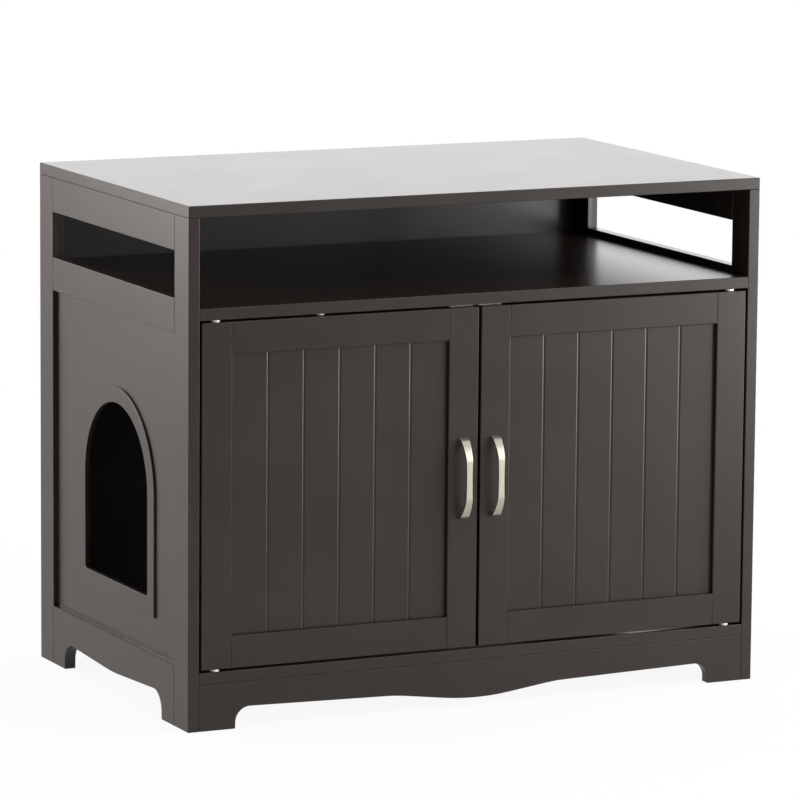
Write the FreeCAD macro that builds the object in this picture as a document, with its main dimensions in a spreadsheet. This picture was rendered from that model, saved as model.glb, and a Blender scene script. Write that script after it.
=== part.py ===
"""A free-standing cat litter box cabinet with two hinged doors and an open shelf.

Frame: X to the right, Y to the back, Z up, millimetres. The origin lies on the floor, under the middle
of the whole outline with its handles. Every piece is drawn about the middle of the cabinet's own floor
plan, and one placement then moves it back by half of what the handles stick out.
"""

import FreeCAD
import Part
import Sketcher
import math
import os
import types

DOCUMENT = FreeCAD.newDocument("litter_cabinet")
VECTOR = FreeCAD.Vector

# Driving dimensions: alias, value in millimetres or a plain count, meaning.
DIMENSIONS = [
    ("overall_width", 800, "outside width of the cabinet"),
    ("body_depth", 495, "depth of the cabinet without its handles"),
    ("overall_height", 660, "floor to the top face"),
    ("board", 15, "thickness of every board, post and rail"),
    ("edge_ease", 0.6, "bevel that eases the edges of the boards"),
    ("post_width", 45, "width of a corner post along the side"),
    ("thin_panel", 3, "thickness of a thin panel"),
    ("panel_recess", 6, "outer face of a frame to the face of the thin panel in it"),
    ("panel_reach", 6, "how far a thin panel reaches into its groove"),
    ("top_rail_height", 45, "height of a side's top rail"),
    ("side_slot_height", 59, "height of the open slot in a side"),
    ("middle_rail_height", 44, "height of a side's middle rail"),
    ("bottom_rail_top", 77.5, "floor to the top of a side's bottom rail"),
    ("shelf_underside", 517, "floor to the underside of the shelf"),
    ("floor_underside", 59.5, "floor to the underside of the bottom board"),
    ("back_lap", 8, "how far a back panel laps over a post or the top board"),
    ("rail_foot_inner", 162.5, "middle of the side to the inner edge of a bottom rail's foot"),
    ("rail_foot_rise", 36.1, "height where the foot's edge would meet the rail's slope"),
    ("rail_foot_radius", 25, "arc between the foot and the slope"),
    ("rail_tip_height", 28.4, "height where the rail's two slopes would meet"),
    ("rail_tip_radius", 449, "arc that rounds the rail's middle"),
    ("apron_foot_inner", 335.5, "middle of the front to the inner edge of the apron's foot"),
    ("apron_foot_rise", 27.9, "height where the foot's edge would meet the apron's edge"),
    ("apron_foot_radius", 20, "arc between the foot and the apron's edge"),
    ("apron_shoulder", 113, "middle of the front to the apron's shoulder"),
    ("apron_shoulder_height", 22.7, "height of the apron's shoulder"),
    ("apron_shoulder_radius", 250, "arc that rounds the shoulder"),
    ("apron_tip_height", 7.65, "height where the apron's two slopes would meet"),
    ("apron_tip_radius", 348, "arc that rounds the apron's middle"),
    ("arch_radius", 103.5, "radius of the cat entrance"),
    ("arch_forward", 5, "how far the cat entrance lies in front of the middle of its side"),
    ("arch_sill", 148, "floor to the sill of the cat entrance"),
    ("arch_springing", 276, "floor to the centre of the entrance's round top"),
    ("arch_corner", 5, "corner radius at the sill"),
    ("trim_width", 21.5, "width of the trim round the entrance"),
    ("trim_sill", 25, "height of the trim under the sill"),
    ("trim_thickness", 3, "thickness of the trim"),
    ("door_gap", 3, "gap above, below and outside a door"),
    ("meeting_gap", 4, "gap between the two doors"),
    ("door_frame", 41, "width of a door's stiles and rails"),
    ("door_bevel", 1, "bevel round the inside of a door's frame"),
    ("groove_pitch", 49, "pitch of the V grooves in a door's panel"),
    ("groove_count", 5, "V grooves in a door's panel"),
    ("groove_width", 3, "width of a V groove"),
    ("groove_depth", 1.2, "depth of a V groove"),
    ("pivot_inset", 20.5, "door's outer edge to its pivot axis"),
    ("pin_radius", 2.5, "radius of a pivot pin"),
    ("pin_clearance", 0.05, "running clearance round a pivot pin"),
    ("pin_in_door", 18, "length of a pivot pin inside the door"),
    ("pin_end_gap", 2, "gap between a pivot pin's end and the blind end of its bush's stem"),
    ("bush_flange_radius", 6, "radius of a bush's flange"),
    ("bush_stem_radius", 4, "radius of a bush's stem"),
    ("bush_stem_length", 10, "length of a bush's stem in its board"),
    ("bush_floor", 1, "thickness of a bush's blind end"),
    ("handle_offset", 22.5, "middle of the front to the middle of a handle"),
    ("handle_height", 295.75, "floor to the middle of a handle"),
    ("handle_length", 104, "overall length of a handle"),
    ("handle_centres", 96, "distance between a handle's two screws"),
    ("handle_projection", 20, "how far a handle stands off the door"),
    ("handle_end_width", 12, "width of a handle at its feet"),
    ("handle_waist_width", 9, "width of a handle at its middle"),
    ("handle_bevel", 0.9, "bevel along a handle's front edges"),
    ("handle_foot", 8.5, "length of a handle's solid foot"),
    ("knee_along", 3.2, "handle's end to its knee, along the handle"),
    ("knee_out", 6.6, "door to the handle's knee"),
    ("elbow_along", 13.5, "handle's end to its elbow"),
    ("elbow_out", 14.9, "door to the handle's elbow"),
    ("knee_radius", 10, "bend at the handle's knee"),
    ("elbow_radius", 40, "bend at the handle's elbow"),
    ("shoulder_radius", 20, "bend between the handle's leg and its middle"),
    ("shoulder_along", 25, "handle's end to its straight middle"),
    ("grip_knee_out", 7.66, "door to the finger space's first bend"),
    ("grip_elbow_along", 14.83, "handle's end to the finger space's elbow"),
    ("grip_elbow_out", 12.76, "door to the finger space's elbow"),
    ("grip_shoulder_along", 25.52, "handle's end to the finger space's straight middle"),
    ("strap_thickness", 2.5, "thickness of a handle's middle"),
    ("screw_radius", 2, "radius of a handle screw"),
    ("screw_bite", 5, "length of a handle screw inside the handle"),
    ("head_sides", 12, "flats round a screw's head or a collar"),
    ("screw_head_radius", 4, "radius of a handle screw's head"),
    ("screw_head_height", 2.6, "height of a handle screw's head"),
    ("head_rim_share", 0.4, "share of a pan head's height that is its upright rim"),
    ("head_crown_share", 0.65, "radius of a pan head's flat top over that of its rim"),
    ("catch_half_width", 36, "half of the magnetic catch's width"),
    ("catch_height", 14, "height of the magnetic catch"),
    ("catch_depth", 17, "depth of the magnetic catch"),
    ("catch_gap", 0.3, "gap between a magnet and its strike plate"),
    ("catch_screw_inset", 4, "end of the magnetic catch to the middle of its screw"),
    ("catch_head_height", 1.82, "height of a catch screw's head"),
    ("magnet_offset", 20, "middle of the front to the middle of a magnet and its strike plate"),
    ("magnet_half_width", 9, "half of a magnet's width"),
    ("magnet_depth", 12, "depth of a magnet in its socket"),
    ("magnet_height", 8, "height of a magnet"),
    ("magnet_lowering", 1, "middle of the magnetic catch down to the middle of a magnet"),
    ("strike_thickness", 1.2, "thickness of a strike plate"),
    ("strike_half_width", 16, "half of a strike plate's width"),
    ("strike_height", 12, "height of a strike plate"),
    ("strike_screw_inset", 4, "end of a strike plate to the middle of its screw"),
    ("small_screw_radius", 1.5, "radius of a small wood screw"),
    ("small_head_radius", 2.8, "radius of a small wood screw's head"),
    ("small_screw_length", 12, "length of a small wood screw"),
    ("first_screw_height", 130, "floor to the lowest screw in a back panel's upright edge"),
    ("screw_pitch", 170, "pitch of the screws in the lower back panel's upright edges"),
    ("upper_screw_height", 588, "floor to the screw in the upper back panel's upright edge"),
    ("edge_screw_offset", 190, "middle of the back to the screws in the level boards"),
    ("shelf_screw_lowering", 3.75, "middle of the shelf's edge down to its screws"),
    ("fastener_sides", 8, "flats round a hidden shank and its bore"),
    ("cam_sides", 12, "flats round a cam lock and its bore"),
    ("cam_radius", 7.5, "radius of a cam lock"),
    ("cam_depth", 12.5, "depth of a cam lock's bore"),
    ("cam_slot_length", 7, "length of the slot in a cam lock's face"),
    ("cam_slot_width", 1.4, "width of a cam lock's slot"),
    ("cam_slot_depth", 2.5, "depth of a cam lock's slot"),
    ("cam_reach", 25, "board joint to the middle of a cam lock"),
    ("cam_overlap", 0.5, "how far a cam bolt's bore runs into the bore of its cam lock"),
    ("cam_bolt_radius", 3, "radius of a cam bolt"),
    ("cam_bolt_bite", 11, "length of a cam bolt in the other board"),
    ("top_cam_offset", 167, "middle of the side to the cam locks of the top board"),
    ("floor_cam_offset", 150, "middle of the side to the cam locks of the shelf and bottom board"),
    ("tenon_length", 10, "length of a tenon at a rail's end"),
    ("tenon_thickness", 6, "thickness of a tenon, in the middle of its rail"),
    ("tenon_shoulder", 8, "edge of a rail to the edge of its tenon"),
    ("buffer_offset", 219, "middle of the front to the door buffer"),
    ("buffer_radius", 6, "radius of the door buffer"),
    ("buffer_height", 2.5, "height of the door buffer"),
]


class Length:
    """A length with the sheet expression that gives it."""

    def __init__(self, number, text):
        self.number = float(number)
        self.text = text

    def __add__(self, other):
        other = as_length(other)
        return Length(self.number + other.number, f"({self.text} + {other.text})")

    def __sub__(self, other):
        other = as_length(other)
        return Length(self.number - other.number, f"({self.text} - {other.text})")

    def __mul__(self, other):
        other = as_length(other)
        return Length(self.number * other.number, f"({self.text} * {other.text})")

    def __truediv__(self, other):
        other = as_length(other)
        return Length(self.number / other.number, f"({self.text} / {other.text})")

    def __neg__(self):
        return Length(-self.number, f"(0 - {self.text})")

    def __radd__(self, other):
        return as_length(other) + self

    def __rsub__(self, other):
        return as_length(other) - self

    def __rmul__(self, other):
        return as_length(other) * self


def as_length(value):
    """Return a length as it is, and a plain number as a length of its own."""
    if isinstance(value, Length):
        return value
    return Length(value, f"({float(value)})")


def number(value):
    """Return the plain millimetres of a length or a number."""
    return as_length(value).number


def make_sheet():
    """Write the driving dimensions to a sheet, and return them as lengths by name."""
    sheet = DOCUMENT.addObject("Spreadsheet::Sheet", "Sizes")
    lengths = {}
    for row, (alias, value, meaning) in enumerate(DIMENSIONS, start=1):
        sheet.set(f"A{row}", str(value))
        sheet.setAlias(f"A{row}", alias)
        sheet.set(f"B{row}", meaning)
    DOCUMENT.recompute()
    for alias, _, _ in DIMENSIONS:
        lengths[alias] = Length(getattr(sheet, alias), f"Sizes.{alias}")
    return types.SimpleNamespace(**lengths)


S = make_sheet()

# Positions that several pieces share, about the middle of the cabinet's floor plan.
HALF_WIDTH = S.overall_width / 2
INNER_X = HALF_WIDTH - S.board
PANEL_OUTER_X = HALF_WIDTH - S.panel_recess
PANEL_INNER_X = PANEL_OUTER_X - S.thin_panel
MID_BOARD_X = HALF_WIDTH - S.board / 2
FRONT_Y = -S.body_depth / 2
BACK_Y = S.body_depth / 2
DOOR_BACK_Y = FRONT_Y + S.board
DOOR_MID_Y = FRONT_Y + S.board / 2
DOOR_PANEL_Y = FRONT_Y + S.panel_recess
DOOR_PANEL_BACK_Y = DOOR_PANEL_Y + S.thin_panel
BACK_PANEL_Y = BACK_Y - S.thin_panel
POST_Y = BACK_Y - S.post_width
TOP_Z = S.overall_height - S.board
TOP_RAIL_Z = TOP_Z - S.top_rail_height
MIDDLE_RAIL_TOP_Z = TOP_RAIL_Z - S.side_slot_height
MIDDLE_RAIL_Z = MIDDLE_RAIL_TOP_Z - S.middle_rail_height
SHELF_TOP_Z = S.shelf_underside + S.board
SHELF_MID_Z = S.shelf_underside + S.board / 2
FLOOR_TOP_Z = S.floor_underside + S.board
FLOOR_MID_Z = S.floor_underside + S.board / 2
DOOR_BOTTOM_Z = FLOOR_TOP_Z + S.door_gap
DOOR_TOP_Z = S.shelf_underside - S.door_gap
DOOR_OUTER_X = INNER_X - S.door_gap
DOOR_INNER_X = S.meeting_gap / 2
OPENING_OUTER_X = DOOR_OUTER_X - S.door_frame
OPENING_INNER_X = DOOR_INNER_X + S.door_frame
OPENING_BOTTOM_Z = DOOR_BOTTOM_Z + S.door_frame
OPENING_TOP_Z = DOOR_TOP_Z - S.door_frame
PIVOT_X = DOOR_OUTER_X - S.pivot_inset
SIDE_PANEL_Z = (S.bottom_rail_top - S.panel_reach, MIDDLE_RAIL_Z + S.panel_reach)
DOOR_PANEL_Z = (OPENING_BOTTOM_Z - S.panel_reach, OPENING_TOP_Z + S.panel_reach)

# Each plane: its role in a body's origin, and the sign of its normal along the third axis.
PLANES = {"XY": ("XY_Plane", 1), "XZ": ("XZ_Plane", -1), "YZ": ("YZ_Plane", 1)}
SIDES = {"left": -1, "right": 1}
START_POINT = 1
END_POINT = 2
CENTRE_POINT = 3
FLAT = 0.01
LEAST_CUT = 0.1
CLEAR = 1


# ---------------------------------------------------------------- sketches and features


def bind(item, property_name, value):
    """Tie a property of an object to the sheet."""
    item.setExpression(property_name, as_length(value).text)


def place(item):
    """Move a finished piece back by half of what the handles stick out."""
    bind(item, "Placement.Base.y", S.handle_projection / 2)
    return item


def new_body(label):
    """Start a body that becomes one sub-part."""
    body = DOCUMENT.addObject("PartDesign::Body", label)
    body.Label = label
    return place(body)


def new_sketch(body, plane, height):
    """Start a sketch on one of the body's origin planes, at a height along the third axis."""
    role, sign = PLANES[plane]
    sketch = body.newObject("Sketcher::SketchObject", "Outline")
    origin_plane = next(item for item in body.Origin.OriginFeatures if item.Role == role)
    sketch.AttachmentSupport = [(origin_plane, "")]
    sketch.MapMode = "FlatFace"
    bind(sketch, ".AttachmentOffset.Base.z", sign * as_length(height))
    return sketch


def constrain(sketch, kind, *arguments):
    """Add one constraint, whose last argument is tied to the sheet if it is a length."""
    value = arguments[-1]
    if not isinstance(value, Length):
        return sketch.addConstraint(Sketcher.Constraint(kind, *arguments))
    index = sketch.addConstraint(Sketcher.Constraint(kind, *arguments[:-1], value.number))
    sketch.setExpression(f"Constraints[{index}]", value.text)
    return index


def fix_point(sketch, item, point, across, up):
    """Fix a point of a sketch by its two distances from the sketch's origin."""
    constrain(sketch, "DistanceX", item, point, as_length(across))
    constrain(sketch, "DistanceY", item, point, as_length(up))


class Corner:
    """A corner of an outline, with the arc that rounds it and the ends of that arc."""

    def __init__(self, across, up, radius=None):
        self.across = across
        self.up = up
        self.radius = radius
        self.spot = VECTOR(number(across), number(up), 0)
        self.arrive = self.spot
        self.leave = self.spot
        self.arc = None
        self.arc_ends = None

    def round_off(self, before, after):
        """Work out the arc tangent to both edges that meet at this corner."""
        to_before = (before.spot - self.spot).normalize()
        to_after = (after.spot - self.spot).normalize()
        half_angle = to_before.getAngle(to_after) / 2
        radius = number(self.radius)
        reach = radius / math.tan(half_angle)
        self.arrive = self.spot + to_before * reach
        self.leave = self.spot + to_after * reach
        middle = self.spot + (to_before + to_after).normalize() * (radius / math.sin(half_angle))
        turns_left = to_before.cross(to_after).z < 0
        first, last = (self.arrive, self.leave) if turns_left else (self.leave, self.arrive)
        self.arc_ends = (START_POINT, END_POINT) if turns_left else (END_POINT, START_POINT)
        circle = Part.Circle(middle, VECTOR(0, 0, 1), radius)
        start = math.atan2(first.y - middle.y, first.x - middle.x)
        stop = math.atan2(last.y - middle.y, last.x - middle.x)
        self.arc = Part.ArcOfCircle(circle, start, stop if stop > start else stop + 2 * math.pi)


def draw_outline(sketch, corners):
    """Draw a closed outline through corners, each (across, up) or (across, up, radius)."""
    corners = [Corner(*corner) for corner in corners]
    count = len(corners)
    for index, corner in enumerate(corners):
        if corner.radius is not None:
            corner.round_off(corners[index - 1], corners[(index + 1) % count])
    edges = []
    for index, corner in enumerate(corners):
        edge = Part.LineSegment(corner.leave, corners[(index + 1) % count].arrive)
        edges.append(sketch.addGeometry(edge, False))
    for index, corner in enumerate(corners):
        join_corner(sketch, corner, edges[index - 1], edges[index])


def join_corner(sketch, corner, edge_in, edge_out):
    """Join two edges at a corner, sharp or with an arc tangent to both."""
    if corner.radius is None:
        constrain(sketch, "Coincident", edge_in, END_POINT, edge_out, START_POINT)
        fix_point(sketch, edge_out, START_POINT, corner.across, corner.up)
        return
    arc = sketch.addGeometry(corner.arc, False)
    point = sketch.addGeometry(Part.Point(corner.spot), True)
    arrive_end, leave_end = corner.arc_ends
    sketch.addConstraint(
        [
            Sketcher.Constraint("Tangent", edge_in, END_POINT, arc, arrive_end),
            Sketcher.Constraint("Tangent", arc, leave_end, edge_out, START_POINT),
            Sketcher.Constraint("PointOnObject", point, START_POINT, edge_in),
            Sketcher.Constraint("PointOnObject", point, START_POINT, edge_out),
        ]
    )
    fix_point(sketch, point, START_POINT, corner.across, corner.up)
    constrain(sketch, "Radius", arc, as_length(corner.radius))


def draw_circles(sketch, centres, radius):
    """Draw equal circles at centres, each (across, up)."""
    for across, up in centres:
        spot = VECTOR(number(across), number(up), 0)
        circle = sketch.addGeometry(Part.Circle(spot, VECTOR(0, 0, 1), number(radius)), False)
        fix_point(sketch, circle, CENTRE_POINT, across, up)
        constrain(sketch, "Radius", circle, as_length(radius))


def draw_polygons(sketch, centres, radius, sides):
    """Draw equal regular polygons, each with a corner straight across from its centre."""
    for across, up in centres:
        middle = VECTOR(number(across), number(up), 0)
        ring = sketch.addGeometry(Part.Circle(middle, VECTOR(0, 0, 1), number(radius)), True)
        spots = [middle + spot for spot in polygon_points(radius, sides)]
        following = spots[1:] + spots[:1]
        lines = [Part.LineSegment(first, last) for first, last in zip(spots, following)]
        edges = sketch.addGeometry(lines, False)
        fix_point(sketch, ring, CENTRE_POINT, across, up)
        constrain(sketch, "Radius", ring, as_length(radius))
        joints = []
        for index, edge in enumerate(edges):
            before = edges[index - 1]
            joints.append(Sketcher.Constraint("Coincident", before, END_POINT, edge, START_POINT))
            joints.append(Sketcher.Constraint("PointOnObject", edge, START_POINT, ring))
            if index:
                joints.append(Sketcher.Constraint("Equal", edges[0], edge))
        joints.append(Sketcher.Constraint("Horizontal", edges[0], START_POINT, ring, CENTRE_POINT))
        sketch.addConstraint(joints)


def polygon_points(radius, sides):
    """Return the corners of a regular polygon round the origin, the first one straight across."""
    step = 2 * math.pi / number(sides)
    reach = number(radius)
    count = round(number(sides))
    return [VECTOR(reach * math.cos(i * step), reach * math.sin(i * step), 0) for i in range(count)]


def draw_arch(sketch, radius, sill, corner=None):
    """Draw a cat entrance: a half round top over two uprights and a level sill."""
    middle = -S.arch_forward
    springing = S.arch_springing
    top = Part.Circle(VECTOR(number(middle), number(springing), 0), VECTOR(0, 0, 1), number(radius))
    arc = sketch.addGeometry(Part.ArcOfCircle(top, 0, math.pi), False)
    corners = [Corner(middle - radius, sill, corner), Corner(middle + radius, sill, corner)]
    left_spring = Corner(middle - radius, springing)
    right_spring = Corner(middle + radius, springing)
    if corner is not None:
        corners[0].round_off(left_spring, corners[1])
        corners[1].round_off(corners[0], right_spring)
    left = sketch.addGeometry(Part.LineSegment(left_spring.spot, corners[0].arrive), False)
    base = sketch.addGeometry(Part.LineSegment(corners[0].leave, corners[1].arrive), False)
    right = sketch.addGeometry(Part.LineSegment(corners[1].leave, right_spring.spot), False)
    fix_point(sketch, arc, CENTRE_POINT, middle, springing)
    constrain(sketch, "Radius", arc, radius)
    constrain(sketch, "Tangent", arc, END_POINT, left, START_POINT)
    constrain(sketch, "Tangent", right, END_POINT, arc, START_POINT)
    join_corner(sketch, corners[0], left, base)
    join_corner(sketch, corners[1], base, right)


def start_height(plane, low, high):
    """Return where a pad that fills low to high starts, against its plane's normal."""
    return low if PLANES[plane][1] > 0 else high


def pad(body, plane, low, high, draw, *arguments):
    """Draw a profile and pad it so that it fills low to high along the plane's third axis."""
    sketch = new_sketch(body, plane, start_height(plane, low, high))
    draw(sketch, *arguments)
    feature = body.newObject("PartDesign::Pad", "Pad")
    feature.Profile = sketch
    bind(feature, "Length", as_length(high) - low)
    return feature


def cut(body, plane, low, high, draw, *arguments):
    """Draw a profile and cut it from low to high along the plane's third axis."""
    sketch = new_sketch(body, plane, start_height(plane, high, low))
    draw(sketch, *arguments)
    feature = body.newObject("PartDesign::Pocket", "Cut")
    feature.Profile = sketch
    bind(feature, "Length", as_length(high) - low)
    return feature


def ease_edges(body, base, size=S.edge_ease):
    """Bevel every edge of a board as it stands so far."""
    feature = body.newObject("PartDesign::Chamfer", "Ease")
    feature.Base = (base, [""])
    feature.UseAllEdges = True
    bind(feature, "Size", size)
    return feature


def ease_face(body, base, face_x):
    """Bevel only the edges of the upright face at one X."""
    DOCUMENT.recompute()
    edges = []
    for index, edge in enumerate(base.Shape.Edges, start=1):
        box = edge.BoundBox
        if box.XLength < FLAT and abs(box.XMin - number(face_x)) < FLAT:
            edges.append(f"Edge{index}")
    feature = body.newObject("PartDesign::Chamfer", "Ease")
    feature.Base = (base, edges)
    bind(feature, "Size", S.edge_ease)
    return feature


def rectangle(low, high):
    """Return the corners of a rectangle, counterclockwise, from two opposite corners."""
    (left, bottom), (right, top) = low, high
    return [(left, bottom), (right, bottom), (right, top), (left, top)]


def make_board(label, x_range, y_range, z_range):
    """Make a plain board with eased edges between two limits on each axis."""
    body = new_body(label)
    corners = rectangle((x_range[0], y_range[0]), (x_range[1], y_range[1]))
    ease_edges(body, pad(body, "XY", *z_range, draw_outline, corners))
    return body


def cut_box(body, x_range, y_range, z_range):
    """Cut a box out of a body, such as a rabbet."""
    corners = rectangle((x_range[0], y_range[0]), (x_range[1], y_range[1]))
    return cut(body, "XY", *z_range, draw_outline, corners)


def bore(body, plane, low, high, radius, centres, sides=S.fastener_sides):
    """Bore equal holes, flat sided like the hidden shanks they hold, from low to high."""
    return cut(body, plane, low, high, draw_polygons, centres, radius, sides)


def bore_round(body, plane, low, high, radius, centres):
    """Bore equal round holes from low to high along the plane's third axis."""
    return cut(body, plane, low, high, draw_circles, centres, radius)


def add_box(body, x_range, y_range, z_range):
    """Add a box to a body, such as a tenon."""
    corners = rectangle((x_range[0], y_range[0]), (x_range[1], y_range[1]))
    return pad(body, "XY", *z_range, draw_outline, corners)


def side_range(side, inner, outer):
    """Return the X limits, low first, of something between two distances from the middle."""
    return (-outer, -inner) if side < 0 else (inner, outer)


def sorted_pair(first, second):
    """Return two limits, low first."""
    return (first, second) if number(first) < number(second) else (second, first)


# ---------------------------------------------------------------- where the fasteners sit

TOP_CAM_Z = TOP_Z - S.cam_reach
FLOOR_CAM_X = INNER_X - S.cam_reach
BACK_SCREW_X = INNER_X + S.back_lap / 2
SIDE_SCREW_Z = (
    S.first_screw_height,
    S.first_screw_height + S.screw_pitch,
    S.first_screw_height + S.screw_pitch * 2,
    S.upper_screw_height,
)
EDGE_SCREW_X = (-S.edge_screw_offset, S.edge_screw_offset)
LOWER_EDGE_Z = SHELF_MID_Z - S.shelf_screw_lowering
SCREW_BITE = S.small_screw_length - S.thin_panel
MORTISE_X = MID_BOARD_X - S.tenon_thickness / 2
MORTISE_Y = (DOOR_MID_Y - S.tenon_thickness / 2, DOOR_MID_Y + S.tenon_thickness / 2)
RAIL_TENONS_Z = {
    "top_rail": (TOP_RAIL_Z + S.tenon_shoulder, TOP_Z - S.tenon_shoulder),
    "middle_rail": (MIDDLE_RAIL_Z + S.tenon_shoulder, MIDDLE_RAIL_TOP_Z - S.tenon_shoulder),
    "bottom_rail": (S.tenon_shoulder, S.bottom_rail_top - S.tenon_shoulder),
}
APRON_TENON_Z = (S.tenon_shoulder, S.floor_underside - S.tenon_shoulder)
DOOR_TENONS_Z = {
    "top": (OPENING_TOP_Z + S.tenon_shoulder, DOOR_TOP_Z - S.tenon_shoulder),
    "bottom": (DOOR_BOTTOM_Z + S.tenon_shoulder, OPENING_BOTTOM_Z - S.tenon_shoulder),
}
CATCH_FRONT_Y = DOOR_BACK_Y + S.strike_thickness + S.catch_gap
CATCH_SCREW_X = S.catch_half_width - S.catch_screw_inset
CATCH_SCREW_Y = CATCH_FRONT_Y + S.catch_depth / 2
MAGNET_BACK_Y = CATCH_FRONT_Y + S.magnet_depth
MAGNET_Z = S.shelf_underside - S.catch_height / 2 - S.magnet_lowering
STRIKE_SCREW_REACH = S.strike_half_width - S.strike_screw_inset
HANDLE_SCREW_Z = (
    S.handle_height - S.handle_centres / 2,
    S.handle_height + S.handle_centres / 2,
)


# ---------------------------------------------------------------- cabinet boards


def make_top_board():
    """Make the top board, with a rabbet for the back panel and bores for its cam bolts."""
    x_range = (-HALF_WIDTH, HALF_WIDTH)
    body = make_board("top_board", x_range, (FRONT_Y, BACK_Y), (TOP_Z, S.overall_height))
    panel_edge = INNER_X + S.back_lap
    lap_z = (TOP_Z - CLEAR, TOP_Z + S.back_lap)
    cut_box(body, (-panel_edge, panel_edge), (BACK_PANEL_Y, BACK_Y + CLEAR), lap_z)
    bolts = [(side * MID_BOARD_X, end * S.top_cam_offset) for side in (-1, 1) for end in (-1, 1)]
    bore(body, "XY", TOP_Z, TOP_Z + S.cam_bolt_bite, S.cam_bolt_radius, bolts)
    return body


def make_post(side_name, front):
    """Make a corner post: grooved for the side panel, mortised for the rails."""
    side = SIDES[side_name]
    low_y, high_y = (FRONT_Y, -POST_Y) if front else (POST_Y, BACK_Y)
    name = f"{side_name}_{'front' if front else 'rear'}_post"
    body = make_board(name, side_range(side, INNER_X, HALF_WIDTH), (low_y, high_y), (0, TOP_Z))
    panel_x = side_range(side, PANEL_INNER_X, PANEL_OUTER_X)
    cut_box(body, panel_x, depth_into_post(low_y, high_y, front, S.panel_reach), SIDE_PANEL_Z)
    mortise_x = side_range(side, MORTISE_X, MORTISE_X + S.tenon_thickness)
    mortise_y = depth_into_post(low_y, high_y, front, S.tenon_length)
    for tenon_z in RAIL_TENONS_Z.values():
        cut_box(body, mortise_x, mortise_y, tenon_z)
    if front:
        apron_x = side_range(side, INNER_X - CLEAR, INNER_X + S.tenon_length)
        cut_box(body, apron_x, MORTISE_Y, APRON_TENON_Z)
        return body
    lap_x = side_range(side, INNER_X - CLEAR, INNER_X + S.back_lap)
    cut_box(body, lap_x, (BACK_PANEL_Y, BACK_Y + CLEAR), (S.floor_underside, TOP_Z + CLEAR))
    screws = [(side * BACK_SCREW_X, z) for z in SIDE_SCREW_Z]
    bore(body, "XZ", BACK_PANEL_Y - SCREW_BITE, BACK_PANEL_Y, S.small_screw_radius, screws)
    return body


def depth_into_post(low_y, high_y, front, reach):
    """Return the Y limits of a cut that goes into a post from the face that meets the rails."""
    return (high_y - reach, high_y + CLEAR) if front else (low_y - CLEAR, low_y + reach)


def add_side_tenons(body, side, rail):
    """Add the tenons at both ends of a side rail."""
    tenon_x = side_range(side, MORTISE_X, MORTISE_X + S.tenon_thickness)
    add_box(body, tenon_x, (-POST_Y - S.tenon_length, -POST_Y), RAIL_TENONS_Z[rail])
    add_box(body, tenon_x, (POST_Y, POST_Y + S.tenon_length), RAIL_TENONS_Z[rail])


def make_top_rail(side_name):
    """Make a side's top rail, with the cam locks' bores in its inner face."""
    side = SIDES[side_name]
    x_range = side_range(side, INNER_X, HALF_WIDTH)
    body = make_board(f"{side_name}_top_rail", x_range, (-POST_Y, POST_Y), (TOP_RAIL_Z, TOP_Z))
    add_side_tenons(body, side, "top_rail")
    cams = [(end * S.top_cam_offset, TOP_CAM_Z) for end in (-1, 1)]
    cam_x = side_range(side, INNER_X, INNER_X + S.cam_depth)
    bore(body, "YZ", *cam_x, S.cam_radius, cams, S.cam_sides)
    bolts = [(side * MID_BOARD_X, end * S.top_cam_offset) for end in (-1, 1)]
    bolt_low_z = TOP_CAM_Z + S.cam_radius - S.cam_overlap
    bore(body, "XY", bolt_low_z, TOP_Z, S.cam_bolt_radius, bolts)
    return body


def bore_board_end(body, side, height):
    """Bore a rail's inner face for the bolts that carry a level board."""
    bolts = [(end * S.floor_cam_offset, height) for end in (-1, 1)]
    bolt_x = side_range(side, INNER_X, INNER_X + S.cam_bolt_bite)
    bore(body, "YZ", *bolt_x, S.cam_bolt_radius, bolts)


def cut_rail_groove(body, side, z_range):
    """Cut the groove for the side panel along a rail's edge."""
    panel_x = side_range(side, PANEL_INNER_X, PANEL_OUTER_X)
    cut_box(body, panel_x, (-POST_Y - CLEAR, POST_Y + CLEAR), z_range)


def make_middle_rail(side_name):
    """Make a side's middle rail, which carries the shelf."""
    side = SIDES[side_name]
    x_range = side_range(side, INNER_X, HALF_WIDTH)
    z_range = (MIDDLE_RAIL_Z, MIDDLE_RAIL_TOP_Z)
    body = make_board(f"{side_name}_middle_rail", x_range, (-POST_Y, POST_Y), z_range)
    cut_rail_groove(body, side, (MIDDLE_RAIL_Z - CLEAR, MIDDLE_RAIL_Z + S.panel_reach))
    add_side_tenons(body, side, "middle_rail")
    bore_board_end(body, side, SHELF_MID_Z)
    return body


def bottom_rail_outline():
    """Return the corners of a side's bottom rail, whose lower edge dips between two feet."""
    return [
        (-POST_Y, 0),
        (-S.rail_foot_inner, 0),
        (-S.rail_foot_inner, S.rail_foot_rise, S.rail_foot_radius),
        (0, S.rail_tip_height, S.rail_tip_radius),
        (S.rail_foot_inner, S.rail_foot_rise, S.rail_foot_radius),
        (S.rail_foot_inner, 0),
        (POST_Y, 0),
        (POST_Y, S.bottom_rail_top),
        (-POST_Y, S.bottom_rail_top),
    ]


def make_bottom_rail(side_name):
    """Make a side's bottom rail, scalloped below, which carries the bottom board."""
    side = SIDES[side_name]
    body = new_body(f"{side_name}_bottom_rail")
    x_range = side_range(side, INNER_X, HALF_WIDTH)
    ease_edges(body, pad(body, "YZ", *x_range, draw_outline, bottom_rail_outline()))
    cut_rail_groove(body, side, (S.bottom_rail_top - S.panel_reach, S.bottom_rail_top + CLEAR))
    add_side_tenons(body, side, "bottom_rail")
    bore_board_end(body, side, FLOOR_MID_Z)
    return body


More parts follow.
